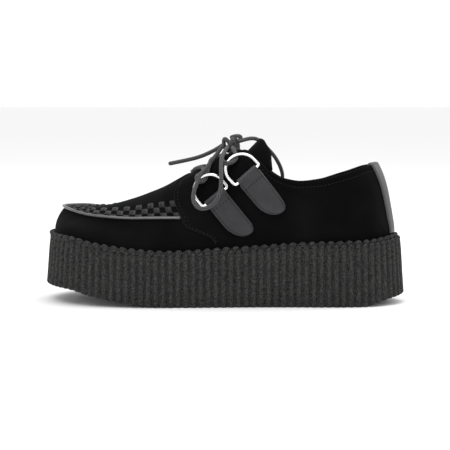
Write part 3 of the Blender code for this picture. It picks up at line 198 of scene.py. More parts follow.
# Lines of the bow from the knot outwards: share of the sole's length from the toe, share of the ball width
# towards the inner side, height above the platform as a share of the upper's height.
# Columns: along, across, height.
KNOT_CENTRE = (0.519, 0.0, 1.042)
KNOT_SIZE = (0.0105, 0.0110, 0.0085)
LOOP_NEAR = (
    (0.497, -0.060, 1.033),
    (0.480, -0.132, 0.945),
    (0.458, -0.255, 0.832),
    (0.437, -0.363, 0.700),
    (0.429, -0.429, 0.594),
    (0.433, -0.472, 0.494),
    (0.453, -0.491, 0.443),
    (0.477, -0.486, 0.463),
    (0.495, -0.476, 0.527),
    (0.503, -0.453, 0.628),
    (0.504, -0.440, 0.724),
    (0.502, -0.385, 0.820),
    (0.502, -0.285, 0.938),
    (0.512, -0.090, 1.025),
)
LOOP_FAR = (
    (0.540, 0.030, 1.072),
    (0.554, 0.066, 1.082),
    (0.573, 0.113, 1.094),
    (0.593, 0.170, 1.074),
    (0.613, 0.236, 0.990),
    (0.634, 0.302, 0.896),
    (0.651, 0.363, 0.778),
    (0.660, 0.410, 0.650),
    (0.649, 0.448, 0.561),
    (0.624, 0.472, 0.558),
    (0.597, 0.462, 0.644),
    (0.570, 0.406, 0.774),
    (0.547, 0.302, 0.902),
    (0.527, 0.179, 1.034),
    (0.524, 0.090, 1.057),
)
END_OUTER = (
    (0.4980, -0.010, 1.048),
    (0.477, -0.038, 1.003),
    (0.436, -0.066, 0.946),
    (0.395, -0.085, 0.915),
    (0.354, -0.094, 0.887),
)
END_INNER = (
    (0.521, 0.030, 1.120),
    (0.532, 0.047, 1.132),
    (0.542, 0.085, 1.124),
    (0.545, 0.142, 1.104),
    (0.528, 0.226, 1.030),
    (0.506, 0.311, 0.915),
    (0.480, 0.396, 0.772),
)


class Side(Enum):
    """A side of the shoe; the value is its sign along Y."""

    OUTER = -1.0
    INNER = 1.0

    @property
    def other(self) -> "Side":
        """The opposite side."""
        return Side.INNER if self is Side.OUTER else Side.OUTER


class Part(Enum):
    """The two leather parts of the upper's wall."""

    VAMP = "vamp"
    QUARTER = "quarter"


@dataclass(frozen=True)
class Crease:
    """A soft trough in the leather along a short straight line.

    Attributes:
        part: The part of the upper that it lies on.
        side: Its side, or None for both.
        start: Where it starts: share of the shoulder line, level from the foot to the top edge.
        end: Where it ends.
        width: Half its width, as a share of the shoulder line.
        sink: Its depth in metres; below zero it is a ridge.
    """

    part: Part
    side: Optional[Side]
    start: tuple[float, float]
    end: tuple[float, float]
    width: float
    sink: float

    LEVEL_SCALE = 0.17

    def depth(self, at: float, level: float) -> float:
        """The offset of the surface at a station and level."""
        a = np.array((self.start[0], self.start[1] * self.LEVEL_SCALE))
        b = np.array((self.end[0], self.end[1] * self.LEVEL_SCALE))
        p = np.array((at, level * self.LEVEL_SCALE))
        run = b - a
        share = float(np.dot(p - a, run) / np.dot(run, run))
        near = min(1.0, max(0.0, share))
        away = float(np.linalg.norm(p - a - run * near))
        fade = math.sin(math.pi * min(1.0, max(0.0, 0.1 + 0.8 * near)))
        return -self.sink * fade * math.exp(-((away / self.width) ** 2))


CREASES = (
    Crease(Part.QUARTER, None, (0.60, 1.88), (0.70, 1.50), 0.020, 0.0010),
    Crease(Part.QUARTER, None, (0.66, 1.90), (0.74, 1.62), 0.012, -0.0005),
    Crease(Part.QUARTER, None, (0.80, 1.30), (0.90, 1.62), 0.018, 0.0008),
    Crease(Part.QUARTER, Side.OUTER, (0.52, 0.70), (0.60, 1.05), 0.014, 0.0006),
    Crease(Part.QUARTER, Side.INNER, (0.48, 0.60), (0.58, 0.90), 0.014, 0.0007),
    Crease(Part.QUARTER, Side.OUTER, (0.72, 0.55), (0.84, 0.75), 0.016, 0.0006),
)


def unit(vector: np.ndarray) -> np.ndarray:
    """A vector of length one."""
    return vector / max(float(np.linalg.norm(vector)), 1e-12)


def arc_lengths(points: np.ndarray) -> np.ndarray:
    """Length along a line up to each of its points."""
    return np.concatenate(((0.0,), np.cumsum(np.linalg.norm(np.diff(points, axis=0), axis=1))))


def monotone_slopes(xs: np.ndarray, ys: np.ndarray) -> np.ndarray:
    """Slopes of a cubic through the points that never overshoots them."""
    step = np.diff(xs)[:, None]
    secant = np.diff(ys, axis=0) / step
    slopes = np.zeros_like(ys)
    slopes[0] = secant[0]
    slopes[-1] = secant[-1]
    before = secant[:-1]
    after = secant[1:]
    same = before * after > 0
    weight = step[1:] + 2 * step[:-1]
    other = 2 * step[1:] + step[:-1]
    safe_before = np.where(same, before, 1.0)
    safe_after = np.where(same, after, 1.0)
    slopes[1:-1] = np.where(same, (weight + other) / (weight / safe_before + other / safe_after), 0.0)
    return slopes


class Table:
    """Rows with named columns, read between the rows along a smooth curve."""

    def __init__(self, columns: Sequence[str], rows: Sequence[tuple], mirror: Optional[int] = None) -> None:
        """Keep the rows.

        Args:
            columns: Names of the columns, the first being the place.
            rows: The rows, with rising places.
            mirror: 0 or -1 where that end lies on the shoe's middle, so the curve is smooth across it.
        """
        data = np.array(rows, float)
        self.names = columns[1:]
        self.at = data[:, 0]
        self.values = data[:, 1:]
        self.slopes = monotone_slopes(self.at, self.values)
        if mirror is None:
            return
        inside = 1 if mirror == 0 else -2
        secant = (self.values[inside] - self.values[mirror]) / (self.at[inside] - self.at[mirror])
        for k, name in enumerate(self.names):
            if name in ("out", "in", "top_across"):
                self.slopes[mirror, k] = 1.5 * secant[k] - 0.5 * self.slopes[inside, k]
            elif name != "foot":
                self.slopes[mirror, k] = 0.0

    def row(self, at: float) -> dict[str, float]:
        """The values at one place, by column name."""
        at = min(max(at, self.at[0]), self.at[-1])
        i = max(min(int(np.searchsorted(self.at, at, side="right")) - 1, len(self.at) - 2), 0)
        width = self.at[i + 1] - self.at[i]
        t = (at - self.at[i]) / width
        low = (1 + 2 * t) * (1 - t) ** 2
        high = t * t * (3 - 2 * t)
        values = low * self.values[i] + high * self.values[i + 1]
        values = values + width * t * (1 - t) * ((1 - t) * self.slopes[i] - t * self.slopes[i + 1])
        return dict(zip(self.names, values))


def closed_curve(points: np.ndarray, steps: int) -> np.ndarray:
    """A smooth closed curve through the points, with the given number of steps between two of them."""
    made = []
    count = len(points)
    for i in range(count):
        a, b, c, d = (points[(i + k - 1) % count] for k in range(4))
        knot = [0.0]
        for p, q in ((a, b), (b, c), (c, d)):
            knot.append(knot[-1] + max(float(np.linalg.norm(q - p)), 1e-9) ** 0.5)
        for k in range(steps):
            t = knot[1] + (knot[2] - knot[1]) * k / steps
            a1 = (knot[1] - t) / (knot[1] - knot[0]) * a + (t - knot[0]) / (knot[1] - knot[0]) * b
            a2 = (knot[2] - t) / (knot[2] - knot[1]) * b + (t - knot[1]) / (knot[2] - knot[1]) * c
            a3 = (knot[3] - t) / (knot[3] - knot[2]) * c + (t - knot[2]) / (knot[3] - knot[2]) * d
            b1 = (knot[2] - t) / (knot[2] - knot[0]) * a1 + (t - knot[0]) / (knot[2] - knot[0]) * a2
            b2 = (knot[3] - t) / (knot[3] - knot[1]) * a2 + (t - knot[1]) / (knot[3] - knot[1]) * a3
            made.append((knot[2] - t) / (knot[2] - knot[1]) * b1 + (t - knot[1]) / (knot[2] - knot[1]) * b2)
    return np.array(made)


class Plan:
    """The platform's outline from above, and lines set in from it."""

    STEPS = 24

    def __init__(self) -> None:
        rows = np.array(SOLE_OUTLINE)
        heel = int(np.argmax(rows[:, 0]))
        points = np.column_stack(((rows[:, 0] - 0.5) * SOLE_LENGTH, rows[:, 1] * BALL_WIDTH))
        curve = closed_curve(points, self.STEPS)
        curve -= (curve.min(axis=0) + curve.max(axis=0)) / 2
        turn = np.roll(curve, -1, axis=0) - np.roll(curve, 1, axis=0)
        turn /= np.linalg.norm(turn, axis=1)[:, None]
        inward = np.column_stack((-turn[:, 1], turn[:, 0]))
        if np.sum(inward * (curve.mean(axis=0) - curve)) < 0:
            inward = -inward
        split = heel * self.STEPS
        self.points = curve
        self.inward = inward
        self.sides = {
            Side.OUTER: np.arange(0, split + 1),
            Side.INNER: np.arange(len(curve), split - 1, -1) % len(curve),
        }

    def line(self, side: Side, inset: Callable[[float], float]) -> tuple[np.ndarray, np.ndarray]:
        """One side from toe to heel, set in by a function of the share of the length."""
        index = self.sides[side]
        base = self.points[index]
        depth = np.array([inset(share) for share in base[:, 0] / SOLE_LENGTH + 0.5])
        return base + self.inward[index] * depth[:, None], self.inward[index]

    def half_ring(self, side: Side, shares: np.ndarray) -> tuple[np.ndarray, np.ndarray]:
        """Points of one side's outline, and the ways inwards, at shares of its length."""
        index = self.sides[side]
        run = arc_lengths(self.points[index])
        at = shares * run[-1]
        xy = np.column_stack([np.interp(at, run, self.points[index][:, k]) for k in range(2)])
        way = np.column_stack([np.interp(at, run, self.inward[index][:, k]) for k in range(2)])
        return xy, way / np.linalg.norm(way, axis=1)[:, None]

    def girth(self, inset: float) -> float:
        """Length once round, set in."""
        return sum(float(arc_lengths(self.line(side, lambda _: inset)[0])[-1]) for side in Side)

    def ring(self, insets: np.ndarray, shares: np.ndarray) -> np.ndarray:
        """A closed ring: toe, outer side, heel, inner side, with an inset for each share of the way."""
        insets = np.broadcast_to(insets, shares.shape)
        outer = shares <= 0.5
        made = np.zeros((len(shares), 2))
        sides = ((Side.OUTER, outer, shares * 2), (Side.INNER, ~outer, 2 - shares * 2))
        for side, mask, local in sides:
            if mask.any():
                xy, way = self.half_ring(side, local[mask])
                made[mask] = xy + way * insets[mask][:, None]
        return made


def ledge(share: float) -> float:
    """How far the upper's foot line lies in from the outline at the floor."""
    return TOE_LEDGE + (HEEL_LEDGE - TOE_LEDGE) * share


def bezier(p0: np.ndarray, p1: np.ndarray, p2: np.ndarray, p3: np.ndarray, t: float) -> np.ndarray:
    """A point of a cubic curve."""
    s = 1 - t
    return p0 * s ** 3 + p1 * (3 * s * s * t) + p2 * (3 * s * t * t) + p3 * t ** 3


class Last:
    """The form of the upper: foot line, shoulder line and top line, with a section curve between them."""

    FOOT_SHARE = 0.2
    PULL = 0.38

    def __init__(self, plan: Plan) -> None:
        self.plan = plan
        self.profile = Table(PROFILE_COLUMNS, SOLE_PROFILE)
        self.tables = {
            Part.VAMP: Table(SECTION_COLUMNS, VAMP_SECTIONS, 0),
            Part.QUARTER: Table(SECTION_COLUMNS, QUARTER_SECTIONS, -1),
        }
        self.foot = {side: plan.line(side, ledge) for side in Side}
        self.run = {side: arc_lengths(self.foot[side][0]) for side in Side}
        self.known: dict[tuple, tuple] = {}

    def sole_top(self, x: float) -> float:
        """Height of the platform's top."""
        return self.profile.row(x / SOLE_LENGTH + 0.5)["top"] * PLATFORM_HEIGHT

    def sole_under(self, x: float) -> float:
        """Height of the platform's underside."""
        return self.profile.row(x / SOLE_LENGTH + 0.5)["under"] * PLATFORM_HEIGHT

    def middle(self, x: float) -> float:
        """The shoe's curved middle line, from above."""
        lines = [self.foot[side][0] for side in Side]
        return float(sum(np.interp(x, line[:, 0], line[:, 1]) for line in lines) / 2)

    def lace_point(self, row: Sequence[float]) -> np.ndarray:
        """A point given by shares of the length, the ball width and the upper's height."""
        x = (row[0] - 0.5) * SOLE_LENGTH
        return np.array((x, row[1] * BALL_WIDTH, self.sole_top(x) + row[2] * UPPER_HEIGHT))

    def section(self, part: Part, side: Side, at: float) -> tuple:
        """Foot point, wall curve, cap curve and way inwards at a place on the shoulder line."""
        key = (part, side, round(at, 7))
        if key in self.known:
            return self.known[key]
        row = self.tables[part].row(at)
        line, inward = self.foot[side]
        place = row["foot"] * self.run[side][-1]
        foot = np.array([np.interp(place, self.run[side], line[:, k]) for k in range(2)])
        way = np.array([np.interp(place, self.run[side], inward[:, k]) for k in range(2)])
        way = np.append(unit(way), 0.0)
        up = np.array((0.0, 0.0, 1.0))
        tail = "out" if side is Side.OUTER else "in"
        base = np.array((foot[0], foot[1], self.sole_top(foot[0]) + 2 * GAP))
        ankle = base + up * WELT_HEIGHT
        shoulder = self.placed(row["along"], side.value * row[tail], row["rise_" + tail])
        top = self.placed(row["top_along"], side.value * row["top_across"], row["top_" + tail])
        reach = np.linalg.norm(shoulder - ankle) * self.PULL
        turn = math.radians(row["wall"])
        wall = (
            ankle,
            ankle + up * reach,
            shoulder - (way * math.cos(turn) + up * math.sin(turn)) * reach,
            shoulder,
        )
        across = unit(np.array((top[0] - shoulder[0], top[1] - shoulder[1], 0.0)))
        blend = min(1.0, max(0.0, (at - 0.5) / 0.12)) if part is Part.QUARTER else 0.0
        across = unit(across * (1 - blend) + way * blend)
        reach = np.linalg.norm(top - shoulder) * self.PULL
        leave = math.radians(row["cap"])
        meet = math.radians(row["end"])
        bow = np.array((-row["bow"] * SOLE_LENGTH, 0.0, 0.0))
        cap = (
            shoulder,
            shoulder + (across * math.cos(leave) + up * math.sin(leave)) * reach + bow,
            top - (across * math.cos(meet) + up * math.sin(meet)) * reach + bow,
            top,
        )
        self.known[key] = (base, wall, cap, way)
        return self.known[key]

    def placed(self, along: float, across: float, rise: float) -> np.ndarray:
        """A point by its share of the length, its share of the ball width off the middle, and its rise."""
        x = (along - 0.5) * SOLE_LENGTH
        return np.array((x, self.middle(x) + across * BALL_WIDTH, self.sole_top(x) + rise * UPPER_HEIGHT))

    def point(self, part: Part, side: Side, at: float, level: float) -> np.ndarray:
        """A point of the smooth outside: level 0 at the foot, 1 on the shoulder, 2 at the top."""
        base, wall, cap, _ = self.section(part, side, at)
        if level <= self.FOOT_SHARE:
            return base + (wall[0] - base) * (level / self.FOOT_SHARE)
        if level <= 1.0:
            return bezier(*wall, (level - self.FOOT_SHARE) / (1 - self.FOOT_SHARE))
        return bezier(*cap, level - 1.0)

    def normal(self, part: Part, side: Side, at: float, level: float) -> np.ndarray:
        """The outward direction of the surface."""
        low, high = self.tables[part].at[0], self.tables[part].at[-1]
        below = self.point(part, side, at, max(0.0, level - 0.02))
        above = self.point(part, side, at, min(2.0, level + 0.02))
        if (part is Part.VAMP and at <= low) or (part is Part.QUARTER and at >= high):
            out = -self.section(part, side, at)[3]
            run = above - below
            return unit(out * run[2] - np.array((0.0, 0.0, np.dot(run, out))))
        before = self.point(part, side, max(low, at - 0.002), level)
        after = self.point(part, side, min(high, at + 0.002), level)
        way = np.cross(after - before, above - below)
        if np.linalg.norm(way) < 1e-12:
            return np.array((0.0, 0.0, 1.0))
        return unit(way if side is Side.OUTER else -way)

    def ridge_normal(self, at: float) -> np.ndarray:
        """The outward direction on the vamp's middle line."""
        ends = self.tables[Part.VAMP].at
        before = self.point(Part.VAMP, Side.OUTER, max(ends[0], at - 0.004), 2.0)
        after = self.point(Part.VAMP, Side.OUTER, min(ends[-1], at + 0.004), 2.0)
        run = after - before
        if np.linalg.norm(run) < 1e-6:
            return np.array((0.0, 0.0, 1.0))
        return unit(np.array((-run[2], 0.0, run[0])))

    def offset(self, part: Part, side: Side, at: float, level: float, out: float) -> np.ndarray:
        """A point off the surface, out along its normal."""
        on_ridge = part is Part.VAMP and level >= 2.0
        way = self.ridge_normal(at) if on_ridge else self.normal(part, side, at, min(level, 1.995))
        return self.point(part, side, at, level) + way * out

    def section_run(self, part: Part, side: Side, at: float, low: float, high: float) -> tuple:
        """Levels between two levels of a section and the length along the section up to each."""
        levels = np.linspace(low, high, 21)
        points = np.array([self.point(part, side, at, level) for level in levels])
        return levels, arc_lengths(points)

    def stations(self, count: int) -> np.ndarray:
        """Places on the vamp's shoulder line, evenly spaced from the toe to the quarter."""
        places = np.linspace(0.0, QUARTER_AT, 60)
        run = arc_lengths(np.array([self.point(Part.VAMP, Side.OUTER, at, 1.0) for at in places]))
        return np.interp(np.linspace(0.0, run[-1], count + 1), run, places)

    def vamp_length(self) -> float:
        """Length of the outer shoulder line from the toe to the quarter."""
        places = np.linspace(0.0, QUARTER_AT, 60)
        return float(arc_lengths(np.array([self.point(Part.VAMP, Side.OUTER, at, 1.0) for at in places]))[-1])


def quarter_lift(at: float) -> float:
    """How far the quarter stands out over the vamp, fading behind its front edge."""
    fade = min(1.0, (at - QUARTER_AT) / 0.10)
    return QUARTER_STEP + (QUARTER_REST - QUARTER_STEP) * fade * fade * (3 - 2 * fade)


class Nodes:
    """A node tree with short calls to add and join nodes."""

    def __init__(self, tree: bpy.types.NodeTree) -> None:
        self.tree = tree

    def add(self, kind: str, inputs: Optional[dict] = None, **settings) -> bpy.types.Node:
        """Add a node.

        Args:
            kind: The node's type name.
            inputs: Values or sockets for its inputs, by name or index.
            settings: Attributes of the node itself.

        Returns:
            The node.
        """
        node = self.tree.nodes.new(kind)
        for name, value in settings.items():
            setattr(node, name, value)
        for name, value in (inputs or {}).items():
            if isinstance(value, bpy.types.NodeSocket):
                self.tree.links.new(value, node.inputs[name])
            else:
                node.inputs[name].default_value = value
        return node

    def noise(self, place: object, scale: object, detail: float) -> bpy.types.NodeSocket:
        """The value of a noise texture at a place."""
        inputs = {"Vector": place, "Scale": scale, "Detail": detail}
        return self.add("ShaderNodeTexNoise", inputs).outputs[0]

    def math(self, operation: str, *values) -> bpy.types.NodeSocket:
        """A maths node's result."""
        return self.add("ShaderNodeMath", dict(enumerate(values)), operation=operation).outputs[0]

    def ramp(self, value: bpy.types.NodeSocket, low: float, high: float) -> bpy.types.NodeSocket:
        """The value spread from low..high to 0..1, with its ends cut off."""
        node = self.add("ShaderNodeMapRange", {"Value": value, "From Min": low, "From Max": high})
        return node.outputs["Result"]

    def blend(self, share: object, a: object, b: object) -> bpy.types.NodeSocket:
        """A mix of two colours."""
        node = self.add("ShaderNodeMix", data_type="RGBA")
        for index, value in ((0, share), (6, a), (7, b)):
            if isinstance(value, bpy.types.NodeSocket):
                self.tree.links.new(value, node.inputs[index])
            elif index == 0:
                node.inputs[index].default_value = value
            else:
                node.inputs[index].default_value = (*value, 1.0)
        return node.outputs[2]


def effect_group(name: str, inputs: dict[str, float], outputs: Sequence[str]) -> tuple:
    """An empty shader group with float sockets.

    Args:
        name: The group's name.
        inputs: Input names with their usual values.
        outputs: Output names.

    Returns:
        The group, its nodes helper, its input node and its output node.
    """
    tree = bpy.data.node_groups.new(name, "ShaderNodeTree")
    for key, value in inputs.items():
        socket = tree.interface.new_socket(key, in_out="INPUT", socket_type="NodeSocketFloat")
        socket.default_value = value
    for key in outputs:
        tree.interface.new_socket(key, in_out="OUTPUT", socket_type="NodeSocketFloat")
    nodes = Nodes(tree)
    return tree, nodes, nodes.add("NodeGroupInput"), nodes.add("NodeGroupOutput")


class Effects:
    """Groups that several finishes share: each gives masks and heights, never a shader."""

    def __init__(self) -> None:
        self.nap = self.make_nap()
        self.crumb = self.make_crumb()
        self.grain = self.make_grain()
        self.plait = self.make_plait()

    @staticmethod
    def make_nap() -> bpy.types.NodeTree:
        """Brushed patches and the short fibres of suede."""
        tree, nodes, given, out = effect_group("nap", {"Patch": 26.0, "Fibre": 2600.0}, ("Patches", "Fibres"))
        place = nodes.add("ShaderNodeTexCoord").outputs["Object"]
        patch = nodes.noise(place, given.outputs["Patch"], 5.0)
        fibre = nodes.noise(place, given.outputs["Fibre"], 2.0)
        tree.links.new(nodes.ramp(patch, 0.35, 0.68), out.inputs["Patches"])
        tree.links.new(fibre, out.inputs["Fibres"])
        return tree

    @staticmethod
    def make_crumb() -> bpy.types.NodeTree:
        """Specks and pits of crepe rubber."""
        tree, nodes, given, out = effect_group("crumb", {"Speck": 1100.0}, ("Specks", "Pits"))
        place = nodes.add("ShaderNodeTexCoord").outputs["Object"]
        speck = nodes.noise(place, given.outputs["Speck"], 3.0)
        size = nodes.math("MULTIPLY", given.outputs["Speck"], 0.55)
        pit = nodes.add("ShaderNodeTexVoronoi", {"Vector": place, "Scale": size})
        tree.links.new(nodes.ramp(speck, 0.38, 0.66), out.inputs["Specks"])
        tree.links.new(nodes.ramp(pit.outputs["Distance"], 0.0, 0.6), out.inputs["Pits"])
        return tree

    @staticmethod
    def make_grain() -> bpy.types.NodeTree:
        """Pores and soft waves of smooth leather."""
        tree, nodes, given, out = effect_group("grain", {"Pore": 1500.0}, ("Pores", "Waves"))
        place = nodes.add("ShaderNodeTexCoord").outputs["Object"]
        pore = nodes.add("ShaderNodeTexVoronoi", {"Vector": place, "Scale": given.outputs["Pore"]})
        wave = nodes.noise(place, 90.0, 3.0)
        tree.links.new(pore.outputs["Distance"], out.inputs["Pores"])
        tree.links.new(wave, out.inputs["Waves"])
        return tree

    @staticmethod
    def make_plait() -> bpy.types.NodeTree:
        """The crossing strands of a round lace, from its own map: round it, and along it in metres; also a
        mask that paints shade into the gaps between the strands.
        """
        tree, nodes, given, out = effect_group("plait", {"Strands": 6.0, "Rise": 0.0042}, ("Height", "Gaps"))
        place = nodes.add("ShaderNodeSeparateXYZ", {0: nodes.add("ShaderNodeTexCoord").outputs["UV"]})
        around = nodes.math("MULTIPLY", place.outputs[0], given.outputs["Strands"])
        along = nodes.math("DIVIDE", place.outputs[1], given.outputs["Rise"])
        waves = []
        for operation in ("ADD", "SUBTRACT"):
            turn = nodes.math("MULTIPLY", nodes.math(operation, around, along), 2 * math.pi)
            waves.append(nodes.math("SINE", turn))
        height = nodes.math("MAXIMUM", waves[0], waves[1])
        tree.links.new(height, out.inputs["Height"])
        # Gap shade runs from 0 in the dips between the strands to 1 on their crests: painted shade in the
        # gaps.
        tree.links.new(nodes.ramp(height, -0.35, 0.45), out.inputs["Gaps"])
        return tree


@dataclass(frozen=True)
class SuedeFinish:
    """Short-napped suede."""

    name: str
    dark: tuple[float, float, float]
    light: tuple[float, float, float]
    roughness: float = 0.92
    sheen: float = 0.03
    specular: float = 0.03
    patch: float = 26.0
    fibre_height: float = 0.00012

    def build(self, effects: Effects) -> bpy.types.Material:
        """The material."""
        made, nodes, shader = new_material(self.name)
        nap = nodes.add("ShaderNodeGroup", node_tree=effects.nap)
        nap.inputs["Patch"].default_value = self.patch
        colour = nodes.blend(nap.outputs["Patches"], self.dark, self.light)
        nodes.tree.links.new(colour, shader.inputs["Base Color"])
        shader.inputs["Roughness"].default_value = self.roughness
        shader.inputs["Specular IOR Level"].default_value = self.specular
        shader.inputs["Sheen Weight"].default_value = self.sheen
        shader.inputs["Sheen Roughness"].default_value = 0.45
        shader.inputs["Sheen Tint"].default_value = (0.8, 0.82, 0.86, 1.0)
        bump = nodes.add("ShaderNodeBump", {"Strength": 0.6, "Distance": self.fibre_height,
                                            "Height": nap.outputs["Fibres"]})
        nodes.tree.links.new(bump.outputs[0], shader.inputs["Normal"])
        return made


@dataclass(frozen=True)
class RubberFinish:
    """Crepe rubber with a crumbled skin."""

    name: str
    dark: tuple[float, float, float]
    light: tuple[float, float, float]
    roughness: float = 0.72
    crumb_height: float = 0.00022

    def build(self, effects: Effects) -> bpy.types.Material:
        """The material."""
        made, nodes, shader = new_material(self.name)
        crumb = nodes.add("ShaderNodeGroup", node_tree=effects.crumb)
        crumb.inputs["Speck"].default_value = 800.0
        colour = nodes.blend(crumb.outputs["Specks"], self.dark, self.light)
        nodes.tree.links.new(colour, shader.inputs["Base Color"])
        shader.inputs["Roughness"].default_value = self.roughness
        shader.inputs["Specular IOR Level"].default_value = 0.22
        height = nodes.math("ADD", crumb.outputs["Specks"], crumb.outputs["Pits"])
        bump = nodes.add("ShaderNodeBump", {"Strength": 0.7, "Distance": self.crumb_height, "Height": height})
        nodes.tree.links.new(bump.outputs[0], shader.inputs["Normal"])
        return made


@dataclass(frozen=True)
class LeatherFinish:
    """Smooth, lightly waxed leather."""

    name: str
    colour: tuple[float, float, float]
    roughness: float = 0.42
    coat: float = 0.12
    grain_height: float = 0.00006
    wear: float = 0.35
    specular: float = 0.5
    coat_roughness: float = 0.35

    def build(self, effects: Effects) -> bpy.types.Material:
        """The material."""
        made, nodes, shader = new_material(self.name)
        grain = nodes.add("ShaderNodeGroup", node_tree=effects.grain)
        pale = tuple(c * (1 + self.wear) for c in self.colour)
        colour = nodes.blend(grain.outputs["Waves"], self.colour, pale)
        nodes.tree.links.new(colour, shader.inputs["Base Color"])
        shader.inputs["Roughness"].default_value = self.roughness
        shader.inputs["Specular IOR Level"].default_value = self.specular
        shader.inputs["Coat Weight"].default_value = self.coat
        shader.inputs["Coat Roughness"].default_value = self.coat_roughness
        waves = nodes.math("MULTIPLY", grain.outputs["Waves"], 2.0)
        height = nodes.math("ADD", grain.outputs["Pores"], waves)
        bump = nodes.add("ShaderNodeBump", {"Strength": 0.5, "Distance": self.grain_height, "Height": height})
        nodes.tree.links.new(bump.outputs[0], shader.inputs["Normal"])
        return made


@dataclass(frozen=True)
class MetalFinish:
    """Bright plated wire."""

    name: str
    colour: tuple[float, float, float]
    roughness: float = 0.16

    def build(self, effects: Effects) -> bpy.types.Material:
        """The material."""
        made, nodes, shader = new_material(self.name)
        shader.inputs["Base Color"].default_value = (*self.colour, 1.0)
        shader.inputs["Metallic"].default_value = 1.0
        grain = nodes.add("ShaderNodeGroup", node_tree=effects.grain)
        rough = nodes.add("ShaderNodeMapRange", {
            "Value": grain.outputs["Waves"],
            "To Min": self.roughness * 0.8,
            "To Max": self.roughness * 1.3,
        })
        nodes.tree.links.new(rough.outputs[0], shader.inputs["Roughness"])
        return made


@dataclass(frozen=True)
class LaceFinish:
    """A round plaited lace."""

    name: str
    dark: tuple[float, float, float]
    light: tuple[float, float, float]
    roughness: float = 0.78

    def build(self, effects: Effects) -> bpy.types.Material:
        """The material."""
        made, nodes, shader = new_material(self.name)
        plait = nodes.add("ShaderNodeGroup", node_tree=effects.plait)
        # Darker base colour in the gaps between the strands and lighter on their crests: painted shade.
        colour = nodes.blend(plait.outputs["Gaps"], self.dark, self.light)
        nodes.tree.links.new(colour, shader.inputs["Base Color"])
        shader.inputs["Roughness"].default_value = self.roughness
        shader.inputs["Sheen Weight"].default_value = 0.15
        shader.inputs["Sheen Roughness"].default_value = 0.5
        bump = nodes.add("ShaderNodeBump", {"Strength": 0.8, "Distance": 0.00035,
                                            "Height": plait.outputs["Height"]})
        nodes.tree.links.new(bump.outputs[0], shader.inputs["Normal"])
        return made


def new_material(name: str) -> tuple:
    """A material with one Principled shader, its nodes helper and that shader."""
    made = bpy.data.materials.new(name)
    made.use_nodes = True
    shader = made.node_tree.nodes["Principled BSDF"]
    return made, Nodes(made.node_tree), shader


@dataclass
class Sheet:
    """A grid of points with its own map; several are joined into one mesh.

    Attributes:
        rows: Points, as rows of lines.
        wrap: Whether each line closes on itself.
        tags: Material index of each face, as rows of lines, or None for the first material.
        uvs: Map of each point, or None.
    """

    rows: np.ndarray
    wrap: bool = False
    tags: Optional[np.ndarray] = None
    uvs: Optional[np.ndarray] = None


def mesh_object(
    name: str,
    sheets: Sequence[Sheet],
    finishes: Sequence[bpy.types.Material],
    fans: Sequence[Sequence[int]] = (),
    weld: float = 1e-5,
    sharp: float = 60.0,
) -> bpy.types.Object:
    """One object from several sheets.

    Args:
        name: The object's name.
        sheets: The grids of points.
        finishes: Its materials.
        fans: Extra faces as lists of point numbers, counted through the sheets in turn.
        weld: Distance below which points become one; 0 leaves them apart.
        sharp: Angle between faces, in degrees, past which an edge stays sharp.

    Returns:
        The object, linked to the scene.
    """
    points: list = []
    faces: list = []
    tags: list = []
    maps: list = []
    for sheet in sheets:
        base = len(points)
        high, wide = sheet.rows.shape[:2]
        points.extend(map(tuple, sheet.rows.reshape(-1, 3)))
        uv = sheet.uvs if sheet.uvs is not None else np.zeros((high, wide, 2))
        maps.extend(map(tuple, uv.reshape(-1, 2)))
        for i in range(high - 1):
            for k in range(wide if sheet.wrap else wide - 1):
                n = (k + 1) % wide
                faces.append((base + i * wide + k, base + i * wide + n,
                              base + (i + 1) * wide + n, base + (i + 1) * wide + k))
                tags.append(int(sheet.tags[i, k]) if sheet.tags is not None else 0)
    for fan in fans:
        faces.append(tuple(fan))
        tags.append(0)
    mesh = bpy.data.meshes.new(name)
    mesh.from_pydata(points, [], faces)
    layer = mesh.uv_layers.new(name="UVMap")
    flat = np.array(maps, float)[[loop.vertex_index for loop in mesh.loops]]
    layer.data.foreach_set("uv", flat.ravel())
    mesh.polygons.foreach_set("material_index", tags)
    for finish in finishes:
        mesh.materials.append(finish)
    tidy_mesh(mesh, weld)
    mesh.shade_smooth()
    mesh.set_sharp_from_angle(angle=math.radians(sharp))
    made = bpy.data.objects.new(name.replace(" ", "_"), mesh)
    bpy.context.collection.objects.link(made)
    return made


def tidy_mesh(mesh: bpy.types.Mesh, weld: float) -> None:
    """Weld close points, drop empty faces and turn the faces outwards."""
    work = bmesh.new()
    work.from_mesh(mesh)
    if weld:
        bmesh.ops.remove_doubles(work, verts=work.verts, dist=weld)
    bmesh.ops.dissolve_degenerate(work, edges=work.edges, dist=1e-7)
    bmesh.ops.recalc_face_normals(work, faces=work.faces)
    work.to_mesh(mesh)
    work.free()


